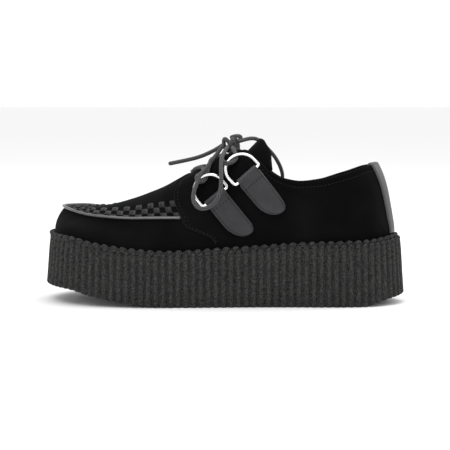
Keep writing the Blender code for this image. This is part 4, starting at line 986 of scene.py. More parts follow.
def tube_sheet(path: np.ndarray, radius: np.ndarray | float, sides: int, closed: bool = False) -> Sheet:
    """A round tube along a line.

    Args:
        path: Points of its middle line.
        radius: One radius, or one for each point.
        sides: Faces round it.
        closed: Whether the line joins its own start.

    Returns:
        The sheet, mapped round the tube and, in metres, along it.
    """
    path = np.asarray(path, float)
    if closed:
        path = np.vstack((path, path[:1]))
    count = len(path)
    radius = np.broadcast_to(radius, (count,))
    run = arc_lengths(path)
    rows = np.zeros((count, sides + 1, 3))
    uvs = np.zeros((count, sides + 1, 2))
    frame = None
    for i in range(count):
        if closed:
            before, after = path[(i - 1) % (count - 1)], path[(i + 1) % (count - 1)]
        else:
            before, after = path[max(i - 1, 0)], path[min(i + 1, count - 1)]
        way = unit(after - before)
        if frame is None:
            seed = np.array((0.0, 0.0, 1.0)) if abs(way[2]) < 0.9 else np.array((0.0, 1.0, 0.0))
            frame = unit(np.cross(way, seed))
        frame = unit(frame - way * np.dot(frame, way))
        other = np.cross(way, frame)
        for k in range(sides + 1):
            turn = 2 * math.pi * k / sides
            rows[i, k] = path[i] + (frame * math.cos(turn) + other * math.sin(turn)) * radius[i]
            uvs[i, k] = (k / sides, run[i])
    return Sheet(rows, uvs=uvs)


def rounded_tube(path: np.ndarray, radius: float, sides: int) -> Sheet:
    """A tube whose two ends close in a half round."""
    path = np.asarray(path, float)
    steps = np.array((0.0, 0.35, 0.62, 0.82, 0.95))
    start = unit(path[0] - path[1])
    end = unit(path[-1] - path[-2])
    head = [path[0] + start * radius * math.sqrt(1 - s * s) for s in steps]
    tail = [path[-1] + end * radius * math.sqrt(1 - s * s) for s in steps[::-1]]
    sizes = np.concatenate((steps * radius + 1e-6, np.full(len(path), radius), steps[::-1] * radius + 1e-6))
    return tube_sheet(np.vstack((head, path, tail)), sizes, sides)


def smooth_path(points: Sequence, spacing: float) -> np.ndarray:
    """Points along a smooth line through the given ones, about evenly spaced."""
    points = [np.array(p, float) for p in points]
    ends = [2 * points[0] - points[1]] + points + [2 * points[-1] - points[-2]]
    fine = []
    for i in range(len(points) - 1):
        a, b, c, d = ends[i:i + 4]
        for t in np.linspace(0.0, 1.0, 12, endpoint=False):
            fine.append(0.5 * (2 * b + (c - a) * t + (2 * a - 5 * b + 4 * c - d) * t * t
                               + (3 * b - a - 3 * c + d) * t ** 3))
    fine.append(points[-1])
    line = np.array(fine)
    run = arc_lengths(line)
    places = np.linspace(0.0, run[-1], max(4, round(run[-1] / spacing) + 1))
    return np.column_stack([np.interp(places, run, line[:, k]) for k in range(3)])


def tree_of(things: Sequence[bpy.types.Object]) -> BVHTree:
    """A search tree of the faces of several objects that sit at the origin."""
    points: list = []
    faces: list = []
    for thing in things:
        base = len(points)
        points += [v.co.copy() for v in thing.data.vertices]
        faces += [[base + i for i in p.vertices] for p in thing.data.polygons]
    return BVHTree.FromPolygons(points, faces)


def push_out(spot: Vector, tree: BVHTree, room: float) -> Optional[Vector]:
    """The spot moved out of and off the faces, or None where it is already clear."""
    near, normal, _, distance = tree.find_nearest(spot)
    if (spot - near).dot(normal) < 0 and distance < 0.012:
        return near + normal * room
    if distance < room:
        return near + (spot - near).normalized() * (room + 1e-5)
    return None


def push_clear(path: np.ndarray, tree: BVHTree, room: float, turns: int = 30) -> np.ndarray:
    """Move a line's points out until they are clear of the faces, smoothing between the first moves."""
    path = np.array(path, float)
    for turn in range(turns):
        moved = False
        for i in range(len(path)):
            spot = push_out(Vector(path[i]), tree, room)
            if spot is not None:
                path[i] = spot
                moved = True
        if not moved and turn > 5:
            break
        if turn < 6:
            smooth = path.copy()
            smooth[1:-1] = (path[:-2] + path[1:-1] * 2 + path[2:]) / 4
            path = smooth
    return path


class Stitcher:
    """Rows of stitches set along lines, by one shared node group."""

    def __init__(self) -> None:
        self.group = bpy.data.node_groups.new("stitches", "GeometryNodeTree")
        face = self.group.interface
        self.sockets = {}
        face.new_socket("Geometry", in_out="INPUT", socket_type="NodeSocketGeometry")
        kinds = {"Pitch": "Float", "Length": "Float", "Radius": "Float", "Thread": "Material"}
        for name, kind in kinds.items():
            made = face.new_socket(name, in_out="INPUT", socket_type="NodeSocket" + kind)
            self.sockets[name] = made.identifier
        face.new_socket("Geometry", in_out="OUTPUT", socket_type="NodeSocketGeometry")
        nodes = Nodes(self.group)
        given = nodes.add("NodeGroupInput")
        curve = nodes.add("GeometryNodeMeshToCurve", {"Mesh": given.outputs["Geometry"]})
        spaced = nodes.add("GeometryNodeResampleCurve", {"Curve": curve.outputs[0]})
        spaced.mode = "LENGTH"
        self.group.links.new(given.outputs["Pitch"], spaced.inputs["Length"])
        tangent = nodes.add("GeometryNodeInputTangent")
        turned = nodes.add("FunctionNodeAlignRotationToVector", {"Vector": tangent.outputs[0]}, axis="Z")
        ball = nodes.add("GeometryNodeMeshUVSphere", {"Segments": 6, "Rings": 5, "Radius": 1.0})
        half = nodes.add("ShaderNodeMath", {0: given.outputs["Length"], 1: 0.5}, operation="MULTIPLY")
        size = nodes.add("ShaderNodeCombineXYZ", {0: given.outputs["Radius"], 1: given.outputs["Radius"],
                                                  2: half.outputs[0]})
        put = nodes.add("GeometryNodeInstanceOnPoints", {
            "Points": spaced.outputs[0], "Instance": ball.outputs["Mesh"],
            "Rotation": turned.outputs[0], "Scale": size.outputs[0]})
        real = nodes.add("GeometryNodeRealizeInstances", {0: put.outputs[0]})
        dressed = nodes.add("GeometryNodeSetMaterial", {"Geometry": real.outputs[0],
                                                        "Material": given.outputs["Thread"]})
        out = nodes.add("NodeGroupOutput")
        self.group.links.new(dressed.outputs[0], out.inputs[0])

    def sew(
        self,
        name: str,
        lines: Sequence[np.ndarray],
        thread: bpy.types.Material,
        pitch: float = 0.0030,
        length: float = 0.0021,
        radius: float = 0.00028,
    ) -> bpy.types.Object:
        """Stitches along the lines, as one mesh object."""
        points: list = []
        edges: list = []
        for line in lines:
            base = len(points)
            points.extend(map(tuple, line))
            edges.extend((base + i, base + i + 1) for i in range(len(line) - 1))
        mesh = bpy.data.meshes.new(name + "_line")
        mesh.from_pydata(points, edges, [])
        carrier = bpy.data.objects.new(name + "_line", mesh)
        bpy.context.collection.objects.link(carrier)
        work = carrier.modifiers.new("stitches", "NODES")
        work.node_group = self.group
        for key, value in (("Pitch", pitch), ("Length", length), ("Radius", radius), ("Thread", thread)):
            work[self.sockets[key]] = value
        graph = bpy.context.evaluated_depsgraph_get()
        graph.update()
        sewn = bpy.data.meshes.new_from_object(carrier.evaluated_get(graph))
        bpy.data.objects.remove(carrier, do_unlink=True)
        sewn.name = name
        sewn.shade_smooth()
        made = bpy.data.objects.new(name.replace(" ", "_"), sewn)
        bpy.context.collection.objects.link(made)
        return made


def show(piece: bpy.types.Object, slot: str, *nodes: str) -> bpy.types.Object:
    """Let a piece ride the shoe's one body and stand for solids."""
    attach(piece, "root")
    if nodes:
        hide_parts(*nodes)
    LOG.info("%s: %d faces", piece.name, len(piece.data.polygons))
    return piece


@dataclass(frozen=True)
class Wardrobe:
    """The finishes in use."""

    rubber: bpy.types.Material
    suede: bpy.types.Material
    strip: bpy.types.Material
    lining: bpy.types.Material
    leather: bpy.types.Material
    strap: bpy.types.Material
    piping: bpy.types.Material
    cut: bpy.types.Material
    thread: bpy.types.Material
    metal: bpy.types.Material
    lace: bpy.types.Material

    @staticmethod
    def make() -> "Wardrobe":
        """Build every finish."""
        effects = Effects()
        finishes = {
            "rubber": RubberFinish("rubber", (0.008, 0.008, 0.008), (0.046, 0.045, 0.044)),
            "suede": SuedeFinish("suede", (0.0024, 0.0024, 0.0026), (0.0048, 0.0048, 0.0051)),
            "strip": LeatherFinish(
                "woven strip", (0.007, 0.007, 0.0075),
                roughness=0.34, coat=0.0, grain_height=0.00012, wear=0.6, specular=0.22),
            "lining": SuedeFinish("lining", (0.010, 0.010, 0.010), (0.016, 0.016, 0.016)),
            "leather": LeatherFinish(
                "tab leather", (0.010, 0.010, 0.011),
                roughness=0.46, coat=0.05, grain_height=0.00012, wear=2.4, specular=0.30),
            "strap": LeatherFinish("strap leather", (0.028, 0.027, 0.027), roughness=0.50),
            "piping": LeatherFinish(
                "piping leather", (0.020, 0.020, 0.021),
                roughness=0.30, coat=0.9, grain_height=0.00002, wear=0.3, specular=0.7, coat_roughness=0.16),
            "cut": SuedeFinish("cut edge", (0.010, 0.010, 0.010), (0.018, 0.018, 0.018)),
            "thread": LeatherFinish(
                "thread", (0.006, 0.006, 0.0065),
                roughness=0.6, coat=0.0, grain_height=0.00002, specular=0.2),
            "metal": MetalFinish("nickel", (0.82, 0.82, 0.82)),
            # The lace's dark tone is painted shade in the gaps between its strands.
            "lace": LaceFinish("lace", (0.012, 0.012, 0.013), (0.046, 0.046, 0.049)),
        }
        return Wardrobe(**{name: finish.build(effects) for name, finish in finishes.items()})


@dataclass(frozen=True)
class Platform:
    """The platform: rounded ribs with a scalloped, grooved rim.

    Attributes:
        last: The form of the upper and the platform.
        wear: The finishes.
        rib_sink: Depth of the grooves as seen, as a multiple of the ribs' depth.
        rim_sink: Depth between the rim's scallops, as a multiple of the wave's.
        seat_inset: Where the flat seat under the upper starts.
    """

    last: Last
    wear: Wardrobe
    rib_sink: float = 1.6
    rim_sink: float = 1.8
    seat_inset: float = 0.012

    # Rows of the side from the floor up: what they are measured from, height in metres (a share of the
    # side's height for the ones between), inset, and how much of the ribs' and the scallops' depth they take.
    LEVELS = (
        ("under", 0.0000, 0.0009, 1.0, 0.0),
        ("under", 0.0009, 0.0000, 1.0, 0.0),
        ("between", 0.25, 0.0, 1.0, 0.0),
        ("between", 0.50, 0.0, 1.0, 0.0),
        ("between", 0.75, 0.0, 1.0, 0.0),
        ("top", -0.0036, 0.0000, 1.0, 0.0),
        ("top", -0.0030, 0.0005, 0.7, 0.05),
        ("top", -0.0024, 0.0000, 1.0, 0.30),
        ("top", -0.0012, 0.0001, 1.0, 0.70),
        ("top", -0.0004, 0.0005, 1.0, 0.93),
        ("top", 0.0000, 0.0013, 0.9, 1.0),
        ("top", -0.0014, 0.0020, 0.5, 0.5),
        ("top", -0.0022, 0.0030, 0.0, 0.0),
    )
    PARTS = (0.0, 0.08, 0.16, 0.26, 0.38, 0.50, 0.62, 0.74, 0.84, 0.92)

    def build(self) -> bpy.types.Object:
        """The finished piece."""
        last, wear = self.last, self.wear
        plan = last.plan
        ribs = 2 * round(plan.girth(0.0) / RIB_PITCH / 2)
        shares = np.array([(i + part) / ribs for i in range(ribs) for part in self.PARTS])
        local = np.tile(np.array(self.PARTS), ribs)
        groove = self.rib_sink * (0.5 + 0.5 * np.cos(2 * np.pi * local)) ** 1.8
        wave = 1 - np.sqrt(1 - np.abs(2 * local - 1) ** 2.2)
        rows = []
        for kind, lift, inset, depth, drop in self.LEVELS:
            share = {"under": 0.0, "top": 1.0}.get(kind, lift)
            base = SIDE_DRAFT * share + inset
            xy = plan.ring(base + groove * RIB_DEPTH * depth, shares)
            ring = []
            for i, (x, y) in enumerate(xy):
                low, high = last.sole_under(x), last.sole_top(x)
                if kind == "under":
                    z = low + lift
                elif kind == "top":
                    z = high + lift - wave[i] * RIM_WAVE * self.rim_sink * drop
                else:
                    z = low + (high - low) * lift
                ring.append((x, y, z))
            rows.append(ring)
        seat = plan.ring(np.full(len(shares), self.seat_inset), shares)
        rows.append([(x, y, last.sole_top(x)) for x, y in seat])
        side = Sheet(np.array(rows), wrap=True)
        count = len(shares)
        fans = []
        for i in range(count // 2):
            corners = [i, i + 1, (count - i - 1) % count, (count - i) % count]
            fans.append(list(dict.fromkeys(corners)))
        whole = [fan for fan in fans if len(fan) > 2]
        return mesh_object("platform", [side], [wear.rubber], whole, sharp=50.0)


@dataclass(frozen=True)
class BeadedWelt:
    """The row of rounded beads round the upper's foot.

    Attributes:
        last: The form of the upper and the platform.
        wear: The finishes.
        bead_share: Width of a bead as a share of the pitch.
    """

    last: Last
    wear: Wardrobe
    bead_share: float = 0.78

    def build(self) -> bpy.types.Object:
        """The finished piece."""
        last, wear = self.last, self.wear
        plan = last.plan
        beads = 2 * round(plan.girth(SIDE_DRAFT) / BEAD_PITCH / 2)
        parts = (0.0, 0.07, 0.12, 0.20, 0.32, 0.5, 0.68, 0.80, 0.88, 0.93)
        shares = np.array([(i + part) / beads for i in range(beads) for part in parts])
        local = np.tile(np.array(parts), beads)
        hollow = 1 - np.sqrt(np.clip(1 - (np.abs(2 * local - 1) / self.bead_share) ** 2.2, 0.0, 1.0))
        edge = plan.ring(np.zeros(len(shares)), shares)
        inner = np.array([ledge(x / SOLE_LENGTH + 0.5) for x in edge[:, 0]])
        inner -= 1.5 * GAP
        outer = inner - WELT_WIDTH
        levels = (
            (inner, -0.60, 0.0, 0.0),
            (outer + 0.0012, -0.60, 1.0, 0.0),
            (outer + 0.0004, 0.12, 1.3, 0.3),
            (outer + 0.0000, 0.48, 1.6, 0.9),
            (outer + 0.0003, 0.76, 1.7, 1.0),
            (outer + 0.0009, 0.93, 1.6, 1.0),
            (outer + 0.0018, 1.00, 1.2, 1.0),
            (outer + 0.0030, 0.95, 0.5, 1.0),
            (inner, 0.80, 0.0, 0.6),
        )
        rows = []
        for inset, lift, depth, drop in levels:
            xy = plan.ring(inset + hollow * BEAD_DEPTH * depth, shares)
            rows.append([(x, y, last.sole_top(x) + WELT_HEIGHT * lift * (1 - 0.96 * hollow[i] * drop))
                         for i, (x, y) in enumerate(xy)])
        return mesh_object("beaded welt", [Sheet(np.array(rows), wrap=True)], [wear.rubber], sharp=50.0)


@dataclass(frozen=True)
class InsoleBoard:
    """The insole.

    Attributes:
        last: The form of the upper and the platform.
        wear: The finishes.
        inset: Room between the board and the upper's wall.
    """

    last: Last
    wear: Wardrobe
    inset: float = 5 * GAP

    def build(self) -> bpy.types.Object:
        """The finished piece."""
        last, wear = self.last, self.wear
        shares = np.arange(160) / 160
        rows = []
        for inset, lift in ((0.0, 0.0003), (0.0, 0.0033), (0.0004, 0.0041), (0.0012, 0.0043)):
            base = [ledge(x / SOLE_LENGTH + 0.5) for x in last.plan.ring(np.zeros(160), shares)[:, 0]]
            xy = last.plan.ring(np.array(base) + WALL + self.inset + inset, shares)
            rows.append([(x, y, last.sole_top(x) + lift) for x, y in xy])
        fans = []
        for i in range(80):
            corners = [480 + i, 480 + i + 1, 480 + (160 - i - 1) % 160, 480 + (160 - i) % 160]
            fans.append(list(dict.fromkeys(corners)))
        return mesh_object("insole board", [Sheet(np.array(rows), wrap=True)], [wear.lining],
                           [fan for fan in fans if len(fan) > 2])


def crease_depth(part: Part, side: Side, at: float, level: float) -> float:
    """How far a crease sinks the upper at a place: soft troughs along short straight lines."""
    total = 0.0
    for crease in CREASES:
        if crease.part is not part or crease.side not in (None, side):
            continue
        total += crease.depth(at, level)
    return total


class UpperBuilder:
    """Builds the upper's wall, its interlaced apron and its seams."""

    CELL_STEPS = 6
    WALL_ROWS = 12
    CAP_ROWS = 10
    BAND_SHARE = 0.82

    def __init__(self, last: Last, wear: Wardrobe) -> None:
        self.last = last
        self.wear = wear
        self.cells = round(last.vamp_length() / WEAVE_CELL)

    def weave(self, side: Side, column: int, row: int) -> tuple[float, int]:
        """Rise and material of a point or face of the interlaced band."""
        steps = self.CELL_STEPS
        if row < 0 or row >= steps * WEAVE_ROWS:
            return 0.0, 0
        u = (column % steps) / steps
        v = (row % steps) / steps
        parity = column // steps + row // steps + (1 if side is Side.INNER else 0)
        pillow = (1 - abs(2 * u - 1) ** 3) * (1 - abs(2 * v - 1) ** 3)
        if parity % 2 == 0:
            return WEAVE_RISE * pillow, 1
        return -WEAVE_DIP * pillow, 0

    def vamp_levels(self, side: Side, at: float) -> list[float]:
        """Levels of the vamp's rows at a station."""
        last = self.last
        levels = [0.0] + list(np.linspace(last.FOOT_SHARE, 1.0, self.WALL_ROWS))
        count = self.CELL_STEPS * WEAVE_ROWS
        cap_levels, run = last.section_run(Part.VAMP, side, at, 1.0, 2.0)
        for k in range(1, count + 1):
            band = min(WEAVE_ROWS * WEAVE_CELL, run[-1] * self.BAND_SHARE)
            levels.append(float(np.interp(band * k / count, run, cap_levels)))
        levels += list(np.linspace(levels[-1], 2.0, self.CAP_ROWS + 1)[1:])
        return levels

    def vamp_outside(self, side: Side) -> Sheet:
        """The vamp's outside with its raised band."""
        last = self.last
        stations = last.stations(self.cells * self.CELL_STEPS)
        rows = []
        tags = []
        for column, at in enumerate(stations):
            line = []
            marks = []
            for row, level in enumerate(self.vamp_levels(side, at)):
                rise, mark = self.weave(side, column, row - self.WALL_ROWS)
                marks.append(mark)
                rise += crease_depth(Part.VAMP, side, at, level) if row > self.WALL_ROWS + 1 else 0.0
                line.append(last.offset(Part.VAMP, side, at, level, rise) if rise
                            else last.point(Part.VAMP, side, at, level))
            rows.append(line)
            tags.append(marks)
        return Sheet(np.array(rows), tags=np.array(tags))

    def quarter_sheet(self, side: Side) -> Sheet:
        """The quarter: outside, rounded top edge and inside in one grid."""
        last = self.last
        places = [QUARTER_AT + step for step in (0.00008, 0.0003, 0.0008, 0.0018, 0.004)]
        places += list(np.linspace(QUARTER_AT + 0.010, 1.0, 76))
        lifts = {0: 0.0, 1: 0.55, 2: 0.88, 3: 1.0}
        rows = []
        for column, at in enumerate(places):
            lift = quarter_lift(at) * lifts.get(column, 1.0)
            line = [last.point(Part.QUARTER, side, at, 0.0)]
            for k, level in enumerate(np.linspace(last.FOOT_SHARE, 2.0, 34)):
                ease = min(1.0, k / 3)
                dent = crease_depth(Part.QUARTER, side, at, level)
                line.append(last.offset(Part.QUARTER, side, at, level, lift * ease + dent))
            way = unit(line[-1] - line[-2])
            out = last.normal(Part.QUARTER, side, at, 1.995)
            top = last.point(Part.QUARTER, side, at, 2.0)
            for turn in (35, 70, 110, 145):
                angle = math.radians(turn)
                middle = (lift - WALL) / 2
                reach = (lift + WALL) / 2
                rise = way * reach * math.sin(angle) * 0.8
                line.append(top + out * (middle + reach * math.cos(angle)) + rise)
            for level in np.linspace(2.0, 0.0, 18):
                line.append(last.offset(Part.QUARTER, side, at, level, -WALL))
            rows.append(line)
        return Sheet(np.array(rows))

    def vamp_inside(self, side: Side) -> Sheet:
        """The vamp's inside."""
        last = self.last
        rows = []
        levels = np.linspace(0.0, 2.0, 18)
        for at in last.stations(36):
            rows.append([last.offset(Part.VAMP, side, at, level, -WALL) for level in levels])
        return Sheet(np.array(rows))

    def build(self) -> bpy.types.Object:
        """The upper as one object, with the strips in their own finish."""
        sheets = []
        for side in Side:
            sheets += [self.vamp_outside(side), self.quarter_sheet(side), self.vamp_inside(side)]
            sheets.append(self.step(side))
        return mesh_object("suede upper", sheets, [self.wear.suede, self.wear.strip], weld=2e-5, sharp=55.0)

    def step(self, side: Side) -> Sheet:
        """The narrow strip between the vamp's last line and the quarter's front edge."""
        levels = np.linspace(0.0, 2.0, 30)
        last = self.last
        start = QUARTER_AT + 0.00008
        low = [last.point(Part.VAMP, side, QUARTER_AT, level) for level in levels]
        high = [last.point(Part.QUARTER, side, start, level) for level in levels]
        return Sheet(np.array((low, high)))


def surface_line(last: Last, part: Part, side: Side, places: Sequence[tuple], out: float) -> np.ndarray:
    """A line on the upper.

    Args:
        last: The form of the upper.
        part: The part of the upper.
        side: Its side.
        places: Pairs of a place on the shoulder line and a level.
        out: How far the line lies off the surface.

    Returns:
        The line's points.
    """
    points = []
    for at, level in places:
        lift = quarter_lift(at) if part is Part.QUARTER else 0.0
        points.append(last.offset(part, side, at, level, lift + out))
    return np.array(points)


@dataclass(frozen=True)
class CutEdges:
    """The pale cut edges of the quarters, where they lie on the vamp.

    Attributes:
        last: The form of the upper and the platform.
        wear: The finishes.
        back: How far the line lies behind the quarter's front, as a share of the shoulder line.
        radius: Half the edge's thickness.
    """

    last: Last
    wear: Wardrobe
    back: float = 0.0012
    radius: float = 0.00045

    def build(self) -> bpy.types.Object:
        """The finished piece."""
        last, wear = self.last, self.wear
        sheets = []
        for side in Side:
            levels = np.linspace(last.FOOT_SHARE + 0.04, 1.96, 50)
            places = [(QUARTER_AT + self.back, level) for level in levels]
            line = surface_line(last, Part.QUARTER, side, places, -self.radius * 1.2)
            sheets.append(rounded_tube(line, self.radius, 8))
        return mesh_object("quarter edges", sheets, [wear.cut], weld=0.0)


@dataclass(frozen=True)
class ApronPiping:
    """The leather cord along the apron's edge.

    Attributes:
        last: The form of the upper and the platform.
        wear: The finishes.
    """

    last: Last
    wear: Wardrobe

    def build(self) -> bpy.types.Object:
        """The finished piece."""
        last, wear = self.last, self.wear
        path: list = []
        for side in Side:
            line = []
            for at in last.stations(64)[:-1]:
                at = min(at, PIPING_END_AT)
                below = last.normal(Part.VAMP, side, at, 0.97)
                above = last.normal(Part.VAMP, side, at, 1.03)
                out = unit(below + above) * (PIPING_RADIUS + GAP)
                line.append(last.point(Part.VAMP, side, at, 1.0) + out)
            path = line[::-1] if side is Side.OUTER else path + line[1:]
        return mesh_object("apron cord", [rounded_tube(np.array(path), PIPING_RADIUS, 14)], [wear.piping])


@dataclass(frozen=True)
class CollarBinding:
    """The narrow binding folded over the collar's edge.

    Attributes:
        last: The form of the upper and the platform.
        wear: The finishes.
    """

    last: Last
    wear: Wardrobe

    def build(self) -> bpy.types.Object:
        """The finished piece."""
        last, wear = self.last, self.wear
        sheets = []
        for side in Side:
            rows = []
            for at in np.linspace(0.560, 1.0, 60):
                levels, run = last.section_run(Part.QUARTER, side, at, 1.0, 2.0)
                lift = quarter_lift(at)
                line = []
                for down, out in ((0.0017, 0.0001), (0.0015, 0.00035), (0.0008, 0.0004)):
                    level = float(np.interp(run[-1] - down, run, levels))
                    line.append(last.offset(Part.QUARTER, side, at, level, lift + out))
                top = last.point(Part.QUARTER, side, at, 2.0)
                out = last.normal(Part.QUARTER, side, at, 1.995)
                way = unit(top - last.point(Part.QUARTER, side, at, 1.96))
                middle = (lift - WALL) / 2
                reach = (lift + WALL) / 2 + 0.0005
                for turn in (15, 45, 75, 105, 135, 165):
                    angle = math.radians(turn)
                    rise = way * reach * math.sin(angle) * 0.85
                    line.append(top + out * (middle + reach * math.cos(angle)) + rise)
                for down, off in ((0.0010, 0.0005), (0.0022, 0.00045), (0.0024, 0.0001)):
                    level = float(np.interp(run[-1] - down, run, levels))
                    line.append(last.offset(Part.QUARTER, side, at, level, -WALL - off))
                rows.append(line)
            sheets.append(Sheet(np.array(rows)))
        return mesh_object("collar binding", sheets, [wear.suede], weld=2e-5)



@dataclass(frozen=True)
class HeelStrap:
    """The leather strip down the heel, folded in over the collar.

    Attributes:
        last: The form of the upper and the platform.
        wear: The finishes.
    """

    last: Last
    wear: Wardrobe

    def station(self, side: Side, level: float, distance: float) -> float:
        """The place that lies a distance round from the heel's middle at a level."""
        places = np.linspace(1.0, 0.8, 21)
        run = arc_lengths(np.array([self.last.point(Part.QUARTER, side, at, level) for at in places]))
        return float(np.interp(distance, run, places))

    def build(self) -> bpy.types.Object:
        """The finished piece."""
        last, wear = self.last, self.wear
        half = STRAP_WIDTH / 2
        across = [(Side.OUTER, s) for s in (1.0, 0.985, 0.93, 0.8, 0.6, 0.4, 0.2)]
        across += [(Side.INNER, s) for s in (0.0, 0.2, 0.4, 0.6, 0.8, 0.93, 0.985, 1.0)]
        rim = {1.0: 0.25, 0.985: 0.75}
        rows = []
        for level in np.linspace(last.FOOT_SHARE + 0.03, 2.0, 28):
            line = []
            for side, share in across:
                at = self.station(side, level, half * share)
                out = QUARTER_REST + 0.0002 + STRAP_THICKNESS * rim.get(share, 1.0)
                line.append(last.offset(Part.QUARTER, side, at, level, out))
            rows.append(line)
        top = QUARTER_REST + 0.0002 + STRAP_THICKNESS
        for turn in (30, 60, 90, 120, 150):
            angle = math.radians(turn)
            line = []
            for side, share in across:
                at = self.station(side, 2.0, half * share)
                spot = last.point(Part.QUARTER, side, at, 2.0)
                out = last.normal(Part.QUARTER, side, at, 1.995)
                way = unit(spot - last.point(Part.QUARTER, side, at, 1.96))
                size = top * rim.get(share, 1.0)
                middle = (size - WALL - 0.0007) / 2
                reach = (size + WALL + 0.0007) / 2
                line.append(spot + out * (middle + reach * math.cos(angle)) + way * reach * math.sin(angle))
            rows.append(line)
        for level in np.linspace(2.0, 1.75, 4):
            line = []
            for side, share in across:
                at = self.station(side, level, half * share)
                line.append(last.offset(Part.QUARTER, side, at, level, -WALL - 0.0007 * rim.get(share, 1.0)))
            rows.append(line)
        return mesh_object("heel strap", [Sheet(np.array(rows))], [wear.strap], sharp=70.0)



@dataclass(frozen=True)
class Tongue:
    """The tongue, a bent plate with rounded edges and a free end that leans up.

    Attributes:
        last: The form of the upper and the platform.
        wear: The finishes.
        flare: How much further back the free end's sides reach, as a share of its rise.
    """

    last: Last
    wear: Wardrobe
    flare: float = 0.6

    # Rows of the free end: share of its rise, share of its width.
    FREE_END = ((0.15, 0.93), (0.3, 0.87), (0.45, 0.80), (0.63, 0.74), (0.8, 0.68), (0.92, 0.60), (1.0, 0.48))

    def lines(self) -> list[np.ndarray]:
        """Cross lines of the tongue's upper face, from below the vamp to its rounded end."""
        last = self.last
        depth = WALL + 4 * GAP
        lines = []
        for at in [TONGUE_START_AT] + list(np.linspace(QUARTER_AT + 0.012, FACING_TOP_AT, 22)):
            part = Part.VAMP if at < QUARTER_AT else Part.QUARTER
            arms = []
            for side in Side:
                levels, run = last.section_run(part, side, at, 1.0, 2.0)
                top = last.point(part, side, at, 2.0)
                top_across = abs(top[1] - last.middle(top[0]))
                skip = max(0.0, TONGUE_NECK / 2 - top_across)
                arm = []
                for share in (0.0, 0.25, 0.5, 0.75, 1.0):
                    distance = skip + max(0.004, TONGUE_WIDTH / 2 - top_across - skip) * share
                    level = float(np.interp(run[-1] - distance, run, levels))
                    arm.append(last.offset(part, side, at, level, -depth))
                arms.append(arm)
            outer, inner = arms
            span = np.linalg.norm(outer[0] - inner[0])
            crown = TONGUE_CROWN * min(1.0, max(-0.5, (at - QUARTER_AT - 0.022) / 0.05))
            bridge = []
            for share in (0.25, 0.5, 0.75):
                spot = outer[0] * (1 - share) + inner[0] * share
                bridge.append(spot + np.array((0.0, 0.0, 4 * crown * span * share * (1 - share))))
            if part is Part.VAMP:
                ridge = last.offset(part, Side.OUTER, at, 2.0, -depth)
                bridge[1] = ridge
            lines.append(np.array(outer[::-1] + bridge + inner))
        base = lines[-1]
        mid = len(base) // 2
        lean = math.radians(TONGUE_LEAN)
        ahead = []
        for k in range(len(base)):
            off = abs(k - mid) / mid
            lift = math.sin(lean) * max(0.0, 1 - (off / 0.72) ** 2) - TONGUE_SINK * off * off
            ahead.append((math.cos(lean) + self.flare * min(1.0, 2 * off), 0.0, lift))
        ahead = np.array(ahead)
        for share, width in self.FREE_END:
            lines.append(base[mid] + (base - base[mid]) * (1.0, width, 1.0) + ahead * TONGUE_RISE * share)
        return lines

    def build(self) -> bpy.types.Object:
        """The finished piece."""
        lines = self.lines()
        rows = len(lines)
        width = len(lines[0])
        ways = []
        for i in range(rows):
            way_line = []
            for k in range(width):
                run = lines[min(i + 1, rows - 1)][k] - lines[max(i - 1, 0)][k]
                over = lines[i][min(k + 1, width - 1)] - lines[i][max(k - 1, 0)]
                way_line.append(unit(np.cross(run, over)))
            ways.append(way_line)
        grid = []
        for i in range(rows):
            upper = [lines[i][k] for k in range(width)]
            lower = [lines[i][k] - ways[i][k] * TONGUE_THICKNESS for k in range(width)]
            left = (upper[0] + lower[0]) / 2 + unit(upper[0] - upper[1]) * TONGUE_THICKNESS * 0.4
            right = (upper[-1] + lower[-1]) / 2 + unit(upper[-1] - upper[-2]) * TONGUE_THICKNESS * 0.4
            grid.append([left] + upper + [right] + lower[::-1])
        ahead = unit(lines[-1][width // 2] - lines[-2][width // 2])
        cap = [(p + q) / 2 + ahead * TONGUE_THICKNESS * 0.4
               for p, q in zip(grid[-1], grid[-1][:1] + grid[-1][:0:-1])]
        grid.append(cap)
        return mesh_object("padded tongue", [Sheet(np.array(grid), wrap=True)], [self.wear.suede])


